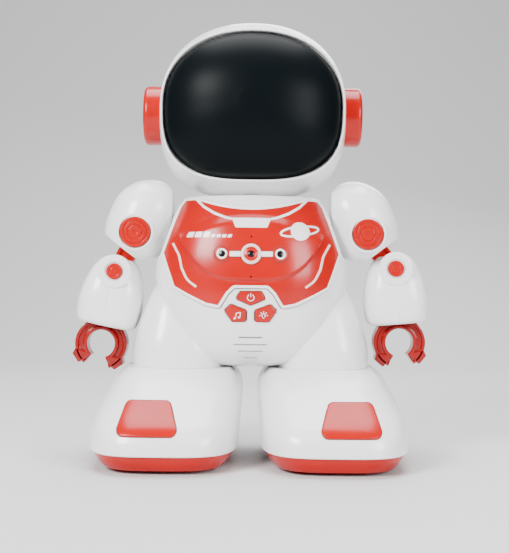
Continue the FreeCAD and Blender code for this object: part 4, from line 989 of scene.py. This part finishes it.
POWER_KEY = [(-7.0, 62.8), (7.0, 62.8), (9.5, 67.5), (0.0, 71.7), (-9.5, 67.5)]
LIGHT_KEY = [(2.9, 74.8), (12.8, 71.1), (16.8, 75.0), (11.8, 82.3), (2.9, 82.1)]
KEY_PROUD = 1.5


def key_outlines():
    """Rounded outline of each push button, by name."""
    outlines = {"power": POWER_KEY, "light": LIGHT_KEY, "music": [(-x, d) for x, d in LIGHT_KEY]}
    return {name: rounded(on_chest(points), 1.3, 220) for name, points in outlines.items()}


def key_icons():
    """Generic signs of the keys: a broken ring with a bar, two joined notes, a lamp with rays."""
    x, z = 0.0, NECK_Z - 66.6
    power = [arc_path(x, z, 2.1, 125.0, 415.0), straight(x, z + 0.3, x, z + 2.7)]
    x, z = -8.3, NECK_Z - 78.3
    music = [straight(x - 1.2, z - 1.6, x - 0.9, z + 1.7), straight(x + 1.6, z - 1.0, x + 1.9, z + 2.3),
             straight(x - 0.9, z + 1.6, x + 1.9, z + 2.3), arc_path(x - 1.8, z - 1.6, 0.45, 0, 330, 16),
             arc_path(x + 1.0, z - 1.0, 0.45, 0, 330, 16)]
    x, z = 8.3, NECK_Z - 77.9
    lamp = [arc_path(x, z, 1.1, -60.0, 240.0), straight(x - 0.5, z - 1.7, x + 0.5, z - 1.7)]
    for a in np.radians((0.0, 45.0, 90.0, 135.0, 180.0)):
        across, up = math.cos(a), math.sin(a)
        lamp.append(straight(x + 1.9 * across, z + 1.9 * up, x + 2.7 * across, z + 2.7 * up))
    return {"power": power, "music": music, "light": lamp}


def make_keys():
    """Three push buttons with rolled edges, a shadow gap round each and a raised white sign."""
    icons = key_icons()
    gaps = []
    for name, outline in key_outlines().items():
        middle = outline.mean(axis=0)
        grid = patch_grid(TORSO, outline, middle, KEY_PROUD, 0.9, rows=20, depth=2.0)
        piece(name + "_key_cap", grid, "red", name + "_key", replaces=(name + "_button",))
        signs = [ribbon_grid(TORSO, path, 0.52, 0.16, KEY_PROUD - 0.02, False) for path in icons[name]]
        piece(name + "_key_sign", signs, "trim", name + "_key")
        around = outline + 0.22 * side_normals(outline)
        gaps.append(ribbon_grid(TORSO, around, 0.7, 0.05, -0.02, True))
    piece("key_gaps", gaps, "gap", "torso")


def make_rear_details():
    """Battery cover with grip ribs, and the body screws in their wells."""
    low, high = COVER_LOW, COVER_HIGH
    corners = [(low[0], low[2]), (high[0], low[2]), (high[0], high[2]), (low[0], high[2])]
    outline = rounded(corners, 3.0, 400)
    middle = (0.0, 0.5 * (low[2] + high[2]))
    grid = patch_grid(TORSO_REAR, outline, middle, 0.7, 0.7, rows=40, depth=1.9)
    piece("battery_door", grid, "white", "cover", replaces=("battery_cover",))
    ribs = []
    for k in range(4):
        z = high[2] - 6.0 - 3.0 * k
        ribs.append(ribbon_grid(TORSO_REAR, straight(-11.0, z, 11.0, z, 40), 1.3, 0.7, 0.65, False))
    piece("battery_door_ribs", ribs, "white", "cover")
    # A thin dark ribbon round the door: painted shadow in the gap.
    around = outline + 0.3 * side_normals(outline)
    piece("battery_door_shadow_gap", ribbon_grid(TORSO_REAR, around, 0.6, 0.05, -0.02, True), "speaker_and_shadow", "torso")
    well = fillet([(3.2, -3.0), (4.6, -3.0), (4.6, 1.3), (3.4, 1.3), (3.2, -1.5)], 0.5, False)
    head = [(3.3, -2.0), (3.3, 0.3), (0.9, 0.3), (0.7, -0.3), (0.3, -0.3)]
    feet = [TORSO_REAR.stand(sign * x, z)[0] for x, z in ((46.0, 90.0), (44.0, 124.0))
            for sign in (-1.0, 1.0)]
    piece("body_screw_wells", [lathe_grid(well, foot, BACKWARD, 64) for foot in feet], "white", "torso",
          loop=True)
    piece("body_screw_heads", [lathe_grid(head, foot, BACKWARD, 48) for foot in feet], "steel", "torso")


# ---- pieces: arms ----

HOOD_POWER = 2.12
RIM_DISTANCE = 14.4
RIM_ANGLE = math.radians(37.7)


def hollow_rim(grid):
    """Past the rim plane the skin turns back inwards as a bowl: reflected, deepened and drawn in."""
    pivot = RAISE_PIVOT["left"]
    normal = np.array((math.sin(RIM_ANGLE), 0.0, -math.cos(RIM_ANGLE)))
    excess = np.maximum((grid - pivot) @ normal - RIM_DISTANCE, 0.0)
    axis_point = pivot + normal * RIM_DISTANCE
    lateral = grid - axis_point
    lateral = lateral - (lateral @ normal)[..., None] * normal
    draw = np.clip(excess / 1.2, 0.0, 1.0) * 0.11
    return grid - ((excess * 2.2)[..., None] * normal) - lateral * draw[..., None]


def make_shoulders():
    """Rounded hoods, flat towards the body, with an open lower rim; disc rings on their fronts."""
    rows = spline(shoulder_sections(), 150)
    hood = hollow_rim(skin_grid(rows, circle(220), HOOD_POWER, "z"))
    hood[..., 0] = np.maximum(hood[..., 0], SHOULDER_LOW[0])
    pivot = RAISE_PIVOT["left"]
    front_y = node_box("left_shoulder_disc")[0][1]
    ring = [(10.5, 6.0), (12.7, 6.0), (12.7, 1.7), (12.1, 0.9), (11.0, 0.9), (10.5, 2.0)]
    ring_grid = lathe_grid(fillet(ring, 0.4, False) * (1.0, -1.0), (pivot[0], front_y, pivot[2]),
                           FORWARD, 96)
    disc = [(10.1, -6.0), (10.1, 0.0), (8.4, 0.0), (8.1, -0.7), (7.5, -0.7), (7.2, 0.0), (5.4, 0.0),
            (5.1, -0.7), (4.5, -0.7), (4.2, 0.0), (1.8, 0.0), (1.5, -0.6), (0.5, -0.6)]
    disc_grid = lathe_grid(fillet(disc, 0.3, False, 5), (pivot[0], front_y, pivot[2]), FORWARD, 96)
    for side in SIDES:
        body = side + "_shoulder"
        piece(side + "_hood", sided(hood, side), "white", body, replaces=(side + "_shoulder_shell",))
        piece(side + "_hood_ring", sided(ring_grid, side), "white", body, loop=True)
        piece(side + "_hood_disc", sided(disc_grid, side), "red", body, replaces=(side + "_shoulder_disc",))


def hung(grid, side):
    """From an arm piece's own frame to the robot's: leant outward by the arm's tilt about its pivot."""
    pivot, axis = HAND_PIVOT[side]
    sign = SIDES[side]
    tilt = math.asin(sign * axis[0])
    x = grid[..., 0] * math.cos(tilt) - grid[..., 2] * math.sin(tilt)
    z = grid[..., 0] * math.sin(tilt) + grid[..., 2] * math.cos(tilt)
    return np.stack([sign * x, grid[..., 1], z], axis=-1) + pivot


def slot_top(grid):
    """Opens the forearm's top for the link: points near the middle plane sink to the boss round the pin."""
    reach = np.hypot(grid[..., 0], grid[..., 2])
    angle = np.degrees(np.arctan2(grid[..., 0], grid[..., 2]))
    inside = smoothstep(5.6, 5.0, np.abs(grid[..., 1])) * smoothstep(62.0, 52.0, np.abs(angle - 14.0))
    shrink = 1.0 + inside * (np.minimum(9.6 / np.maximum(reach, 1e-6), 1.0) - 1.0)
    result = grid.copy()
    result[..., 0] *= shrink
    result[..., 2] *= shrink
    return result


def make_forearms():
    """Barrels with a slotted top and a rolled open end, elbow bosses, red caps and a moulded seam."""
    rows = spline([(t, 0.0, 0.0, w, d) for t, w, d in FOREARM_ROWS], 130)
    inner = rows[0] + np.array([(8.0, 0.0, 0.0, -2.0, -2.0), (0.3, 0.0, 0.0, -1.4, -1.4)])
    barrel = skin_grid(np.concatenate([inner, rows]), circle(240), FOREARM_POWER, "z")
    normal = grid_normals(barrel, True)
    seam = 0.35 * np.exp(-(barrel[..., 0] / 0.35) ** 2) * (barrel[..., 2] < -12.0)
    seams = seam + 0.3 * np.exp(-(barrel[..., 1] / 0.3) ** 2)
    seams[:3] = 0.0
    barrel = slot_top(barrel - seams[..., None] * normal)
    face = 20.0
    boss = fillet([(11.3, -6.0), (11.3, 0.0), (6.6, 0.0), (6.2, -0.9), (5.4, -1.0), (5.3, -1.8)], 0.7, False)
    cap = fillet([(5.3, -3.0), (5.3, 0.5), (3.6, 0.5), (3.3, 0.0), (2.9, 0.0), (2.6, 0.5), (0.5, 0.5)], 0.45,
                 False)
    for side in SIDES:
        body = side + "_forearm"
        piece(side + "_forearm_barrel", hung(barrel, side), "white", body,
              replaces=(side + "_forearm_front_shell", side + "_forearm_rear_shell"))
        bosses = [hung(lathe_grid(boss, (0.0, face * facing, 0.0), (0.0, facing, 0.0), 96), side)
                  for facing in (-1.0, 1.0)]
        piece(side + "_elbow_bosses", bosses, "white", body)
        button = hung(lathe_grid(cap, (0.0, -face, 0.0), FORWARD, 72), side)
        piece(side + "_elbow_button", button, "red", body, replaces=(side + "_elbow_cap",))
        bump = lathe_grid(fillet([(1.5, -1.0), (1.5, 0.4), (0.5, 0.6)], 0.4, False),
                          (9.0, -18.6, -26.0), (0.12, -1.0, 0.0), 32)
        piece(side + "_forearm_bump", hung(bump, side), "white", body)


HAND_CENTRE = -50.5
HAND_OUTER = 17.7
HAND_INNER = 9.5
HAND_GAP = 6.8
HAND_HALF = 7.0


def make_hands():
    """C-shaped grippers: an I section carried round an arc, two pointed pads and a turned stem."""
    half, floor = HAND_HALF, HAND_HALF - 1.6
    lower = [(HAND_INNER, -half), (HAND_INNER + 2.2, -half), (HAND_INNER + 2.7, -floor),
             (HAND_OUTER - 2.7, -floor), (HAND_OUTER - 2.2, -half), (HAND_OUTER, -half)]
    section = lower + [(radius, -side) for radius, side in lower[::-1]]
    section = even(fillet(section, 0.5, True, 5), 96, True)
    gap = math.asin(HAND_GAP / 13.6)
    sweep = np.linspace(-0.5 * math.pi + gap, 1.5 * math.pi - gap, 120)[:, None]
    ring = np.stack([section[:, 0] * np.cos(sweep), np.broadcast_to(section[:, 1], (120, 96)),
                     HAND_CENTRE + section[:, 0] * np.sin(sweep)], axis=-1)
    corners = np.array([(HAND_GAP, -7.4), (HAND_OUTER - 1.4, -6.2), (HAND_OUTER - 0.1, -10.6), (12.4, -15.8),
                        (HAND_GAP, -10.6)]) + (0.0, HAND_CENTRE)
    pad = rounded(corners, 0.9, 100)
    pads = [slab_grid(pad, corners.mean(axis=0), -half, half, 0.6)]
    pads.append(pads[0] * (-1.0, 1.0, 1.0))
    stem = fillet([(5.0, HAND_CENTRE + HAND_INNER + 2.5), (5.0, -29.8), (8.0, -29.8), (8.0, -27.4),
                   (5.0, -27.4), (5.0, -23.6), (8.0, -23.6), (8.0, -21.2)], 0.5, False)
    neck = lathe_grid(stem, (0.0, 0.0, 0.0), UP, 64)
    for side in SIDES:
        grids = [hung(grid, side) for grid in [ring] + pads + [neck]]
        # Their finish is the red moulding darkened: painted shade.
        piece(side + "_gripper_hand", grids, "shaded_red", side + "_gripper", replaces=(side + "_hand",))


# ---- pieces: legs ----

def make_thighs():
    """Tapered white thighs, closed by a flat bottom on the feet."""
    rows = spline(thigh_sections(), 120)
    rows = rows[rows[:, 0] <= THIGH_LOW[2] + THIGH_HEIGHT]
    turn_in = rows[0] - np.array([(0.0, 0.0, 0.0, 1.2, 1.2), (0.0, 0.0, 0.0, 0.35, 0.35),
                                  (-0.5, 0.0, 0.0, 0.0, 0.0)])
    rows = np.concatenate([turn_in, rows[rows[:, 0] > turn_in[2, 0] + 0.2]])
    grid = skin_grid(rows, circle(220), 2.6, "z")
    low, high = node_box("left_hip_cap")
    lean = math.radians(18.0)
    axis = np.array((math.cos(lean), 0.0, math.sin(lean)))
    centre = 0.5 * (low + high)
    cap = fillet([(12.0, -2.0), (12.0, 2.9), (9.2, 2.9), (8.9, 2.3), (8.2, 2.3), (7.9, 2.9), (4.6, 2.9),
                  (4.3, 2.3), (3.7, 2.3), (3.4, 2.9), (0.6, 2.9)], 0.9, False)
    cap_grid = lathe_grid(cap, centre, axis, 96)
    for side in SIDES:
        piece(side + "_thigh", sided(grid, side), "white", "torso", replaces=(side + "_thigh_shell",))
        piece(side + "_hip_disc", sided(cap_grid, side), "red", "torso", replaces=(side + "_hip_cap",))


INSERT = [(50.0, 44.0), (77.5, 44.0), (83.0, 24.0), (43.0, 24.0)]


def make_feet():
    """Big boots with a rolled lower edge, a red insert on the slope and its shadow gap."""
    rows = spline(foot_sections(), 150)
    turn_in = rows[0] + np.array([(2.0, 0.0, 0.0, -2.4, -2.4), (0.1, 0.0, 0.0, -2.0, -2.0),
                                  (0.0, 0.0, 0.0, -0.6, -0.6), (0.6, 0.0, 0.0, 0.0, 0.0)])
    lid = rows[-1] - np.array([(0.15, 0.0, 0.0, 0.1, 0.1), (0.0, 0.0, 0.0, 0.9, 0.9)])
    rows = np.concatenate([turn_in, rows[4:-1], lid])
    grid = skin_grid(rows, circle(260), 3.5, "z")
    outline = rounded(INSERT, 4.0, 260)
    middle = np.mean(INSERT, axis=0)
    insert = patch_grid(FOOT, outline, middle, 0.9, 0.8, rows=36)
    gap = ribbon_grid(FOOT, outline + 0.2 * side_normals(outline), 0.5, 0.05, -0.02, True)
    for side in SIDES:
        piece(side + "_boot", sided(grid, side), "white", "torso", replaces=(side + "_foot_shell",))
        piece(side + "_boot_insert", sided(insert, side), "red", "torso", replaces=(side + "_foot_insert",))
        piece(side + "_boot_insert_gap", sided(gap, side), "gap", "torso")


KEPT_FINISHES = {"circuit_board": "board", "cell_wrap": "cell", "dark_plastic": "dark",
                 "speaker_cone": "dark", "grey_plastic": "grey", "red_plastic": "red", "steel": "steel",
                 "switch_rubber": "pad", "tyre_rubber": "rubber", "visor_black": "visor",
                 "dark_window": "window", "white_plastic": "white"}


def finish_mechanism():
    """Gives every node of the frame its finish, by the slot that the record names for it."""
    for entry in frame["record"]["subparts"]:
        node = frame["nodes"][entry["node"]]
        node.data.materials.clear()
        node.data.materials.append(MATERIALS[KEPT_FINISHES[entry["material_slot"]]])


# ---- stage ----

def aim(thing, target):
    thing.rotation_euler = (Vector(target) - thing.location).to_track_quat("-Z", "Y").to_euler()


def add_light(name, place, target, size, power, colour=(1.0, 1.0, 1.0)):
    data = bpy.data.lights.new(name, "AREA")
    data.shape = "RECTANGLE"
    data.size, data.size_y = size
    data.energy = power
    data.color = colour
    light = bpy.data.objects.new(name, data)
    bpy.context.scene.collection.objects.link(light)
    light.location = place
    aim(light, target)


def make_stage():
    """Pale floor that curves up into a backdrop, soft lights and the camera."""
    profile = fillet([(-5.0, 0.0), (1.5, 0.0), (1.5, 2.6)], 0.8, False, 24) / MM
    across = np.linspace(-2.6, 2.6, 12) / MM
    grid = np.stack([np.broadcast_to(across, (len(profile), 12)),
                     np.broadcast_to(profile[:, :1], (len(profile), 12)),
                     np.broadcast_to(profile[:, 1:], (len(profile), 12))], axis=-1)
    mesh = bpy.data.meshes.new("floor")
    faces = grid_faces(len(profile), 12, False)
    mesh.from_pydata((grid.reshape(-1, 3) * MM).tolist(), [], faces.tolist())
    mesh.polygons.foreach_set("use_smooth", np.ones(len(mesh.polygons), dtype=bool))
    board = Board("pale_floor")
    cloud = board.noise(2.0, 2.0)
    tone = board.mix(cloud, (0.6, 0.6, 0.61), (0.63, 0.63, 0.635))
    mesh.materials.append(board.finish(tone, 0.6 + cloud * 0.1))
    floor = bpy.data.objects.new("floor", mesh)
    bpy.context.scene.collection.objects.link(floor)
    world = bpy.data.worlds.new("studio")
    bpy.context.scene.world = world
    world.use_nodes = True
    background = world.node_tree.nodes["Background"]
    background.inputs["Color"].default_value = (0.92, 0.95, 1.0, 1.0)
    background.inputs["Strength"].default_value = 0.22
    middle = (0.0, -0.01, 0.15)
    add_light("key", (-0.72, -0.92, 0.72), middle, (0.4, 0.5), 30.0)
    add_light("fill", (0.78, -0.85, 0.45), middle, (0.4, 0.5), 13.0)
    add_light("top", (0.0, 0.1, 1.25), middle, (1.0, 0.8), 28.0)
    add_light("rear", (0.3, 1.0, 0.8), middle, (0.8, 0.5), 6.0)
    make_camera()


CAMERA_PLACE = (2.3, -750.0, 123.0)
CAMERA_LENS = 70.1
CAMERA_ROLL = math.radians(-0.6)


def make_camera():
    """Level camera straight in front of the robot, low, at arm's length."""
    data = bpy.data.cameras.new("camera")
    data.lens = CAMERA_LENS
    data.sensor_width = 36.0
    data.clip_start = 0.01
    camera = bpy.data.objects.new("camera", data)
    bpy.context.scene.collection.objects.link(camera)
    camera.location = Vector(CAMERA_PLACE) * MM
    camera.rotation_euler = (0.5 * math.pi, CAMERA_ROLL, 0.0)
    bpy.context.scene.camera = camera


# ---- add-on ----

class RobotLook(bpy.types.PropertyGroup):
    white: FloatVectorProperty(name="White", description="Colour of the white mouldings", subtype="COLOR",
                               size=3, min=0.0, max=1.0, default=(0.87, 0.87, 0.865))
    red: FloatVectorProperty(name="Red", description="Colour of the red mouldings", subtype="COLOR",
                             size=3, min=0.0, max=1.0, default=(0.46, 0.0022, 0.0005))
    black: FloatVectorProperty(name="Visor", description="Colour of the visor", subtype="COLOR",
                               size=3, min=0.0, max=1.0, default=(0.0016, 0.0028, 0.0034))
    white_roughness: FloatProperty(name="White roughness", description="Dullness of the white mouldings",
                                   min=0.0, max=1.0, default=0.27, subtype="FACTOR")


class RobotStep:
    """What the robot's operators share."""
    bl_options = {"REGISTER", "UNDO"}
    make = None

    def execute(self, context):
        type(self).make()
        return {"FINISHED"}


class ROBOT_OT_finishes(RobotStep, bpy.types.Operator):
    """Prepare the materials and give the working parts theirs"""
    bl_idname = "robot.finishes"
    bl_label = "Finishes"

    def execute(self, context):
        prepare_materials(context.scene.robot_look)
        finish_mechanism()
        return {"FINISHED"}


class ROBOT_OT_helmet(RobotStep, bpy.types.Operator):
    """Add the two helmet mouldings"""
    bl_idname = "robot.helmet"
    bl_label = "Helmet"
    make = staticmethod(make_helmet)


class ROBOT_OT_visor(RobotStep, bpy.types.Operator):
    """Add the black visor"""
    bl_idname = "robot.visor"
    bl_label = "Visor"
    make = staticmethod(make_visor)


class ROBOT_OT_ears(RobotStep, bpy.types.Operator):
    """Add the red ear caps"""
    bl_idname = "robot.ears"
    bl_label = "Ears"
    make = staticmethod(make_ears)


class ROBOT_OT_collar(RobotStep, bpy.types.Operator):
    """Add the neck ring"""
    bl_idname = "robot.collar"
    bl_label = "Neck ring"
    make = staticmethod(make_collar)


class ROBOT_OT_torso(RobotStep, bpy.types.Operator):
    """Add the body mouldings with the speaker slits"""
    bl_idname = "robot.torso"
    bl_label = "Body"
    make = staticmethod(make_torso)


class ROBOT_OT_chest(RobotStep, bpy.types.Operator):
    """Add the chest panel and what is printed on it"""
    bl_idname = "robot.chest"
    bl_label = "Chest panel"
    make = staticmethod(make_chest)


class ROBOT_OT_sensors(RobotStep, bpy.types.Operator):
    """Add the sensor windows and the middle element"""
    bl_idname = "robot.sensors"
    bl_label = "Sensors"
    make = staticmethod(make_sensors)


class ROBOT_OT_keys(RobotStep, bpy.types.Operator):
    """Add the three push buttons"""
    bl_idname = "robot.push_buttons"
    bl_label = "Push buttons"
    make = staticmethod(make_keys)


class ROBOT_OT_rear(RobotStep, bpy.types.Operator):
    """Add the battery door and screw wells"""
    bl_idname = "robot.rear"
    bl_label = "Rear details"
    make = staticmethod(make_rear_details)


class ROBOT_OT_shoulders(RobotStep, bpy.types.Operator):
    """Add the shoulder hoods and their discs"""
    bl_idname = "robot.shoulders"
    bl_label = "Shoulders"
    make = staticmethod(make_shoulders)


class ROBOT_OT_forearms(RobotStep, bpy.types.Operator):
    """Add the forearms with their elbow bosses"""
    bl_idname = "robot.forearms"
    bl_label = "Forearms"
    make = staticmethod(make_forearms)


class ROBOT_OT_hands(RobotStep, bpy.types.Operator):
    """Add the gripping hands"""
    bl_idname = "robot.hands"
    bl_label = "Hands"
    make = staticmethod(make_hands)


class ROBOT_OT_thighs(RobotStep, bpy.types.Operator):
    """Add the thighs and hip discs"""
    bl_idname = "robot.thighs"
    bl_label = "Thighs"
    make = staticmethod(make_thighs)


class ROBOT_OT_feet(RobotStep, bpy.types.Operator):
    """Add the boots and their inserts"""
    bl_idname = "robot.feet"
    bl_label = "Feet"
    make = staticmethod(make_feet)


class ROBOT_OT_stage(RobotStep, bpy.types.Operator):
    """Add the floor, lights and camera"""
    bl_idname = "robot.stage"
    bl_label = "Stage"
    make = staticmethod(make_stage)


STEPS = (ROBOT_OT_finishes, ROBOT_OT_helmet, ROBOT_OT_visor, ROBOT_OT_ears, ROBOT_OT_collar, ROBOT_OT_torso,
         ROBOT_OT_chest, ROBOT_OT_sensors, ROBOT_OT_keys, ROBOT_OT_rear, ROBOT_OT_shoulders,
         ROBOT_OT_forearms, ROBOT_OT_hands, ROBOT_OT_thighs, ROBOT_OT_feet, ROBOT_OT_stage)


class ROBOT_PT_panel(bpy.types.Panel):
    """Settings and steps of the robot"""
    bl_idname = "ROBOT_PT_panel"
    bl_label = "Toy astronaut robot"
    bl_space_type = "VIEW_3D"
    bl_region_type = "UI"
    bl_category = "Robot"

    def draw(self, context):
        look = context.scene.robot_look
        for name in ("white", "red", "black", "white_roughness"):
            self.layout.prop(look, name)
        for step in STEPS:
            self.layout.operator(step.bl_idname)


CLASSES = (RobotLook,) + STEPS + (ROBOT_PT_panel,)


def register():
    for item in CLASSES:
        bpy.utils.register_class(item)
    bpy.types.Scene.robot_look = PointerProperty(type=RobotLook)


def unregister():
    del bpy.types.Scene.robot_look
    for item in reversed(CLASSES):
        bpy.utils.unregister_class(item)


def main():
    register()
    for step in STEPS:
        group, name = step.bl_idname.split(".")
        getattr(getattr(bpy.ops, group), name)()


if __name__ == "__main__":
    main()
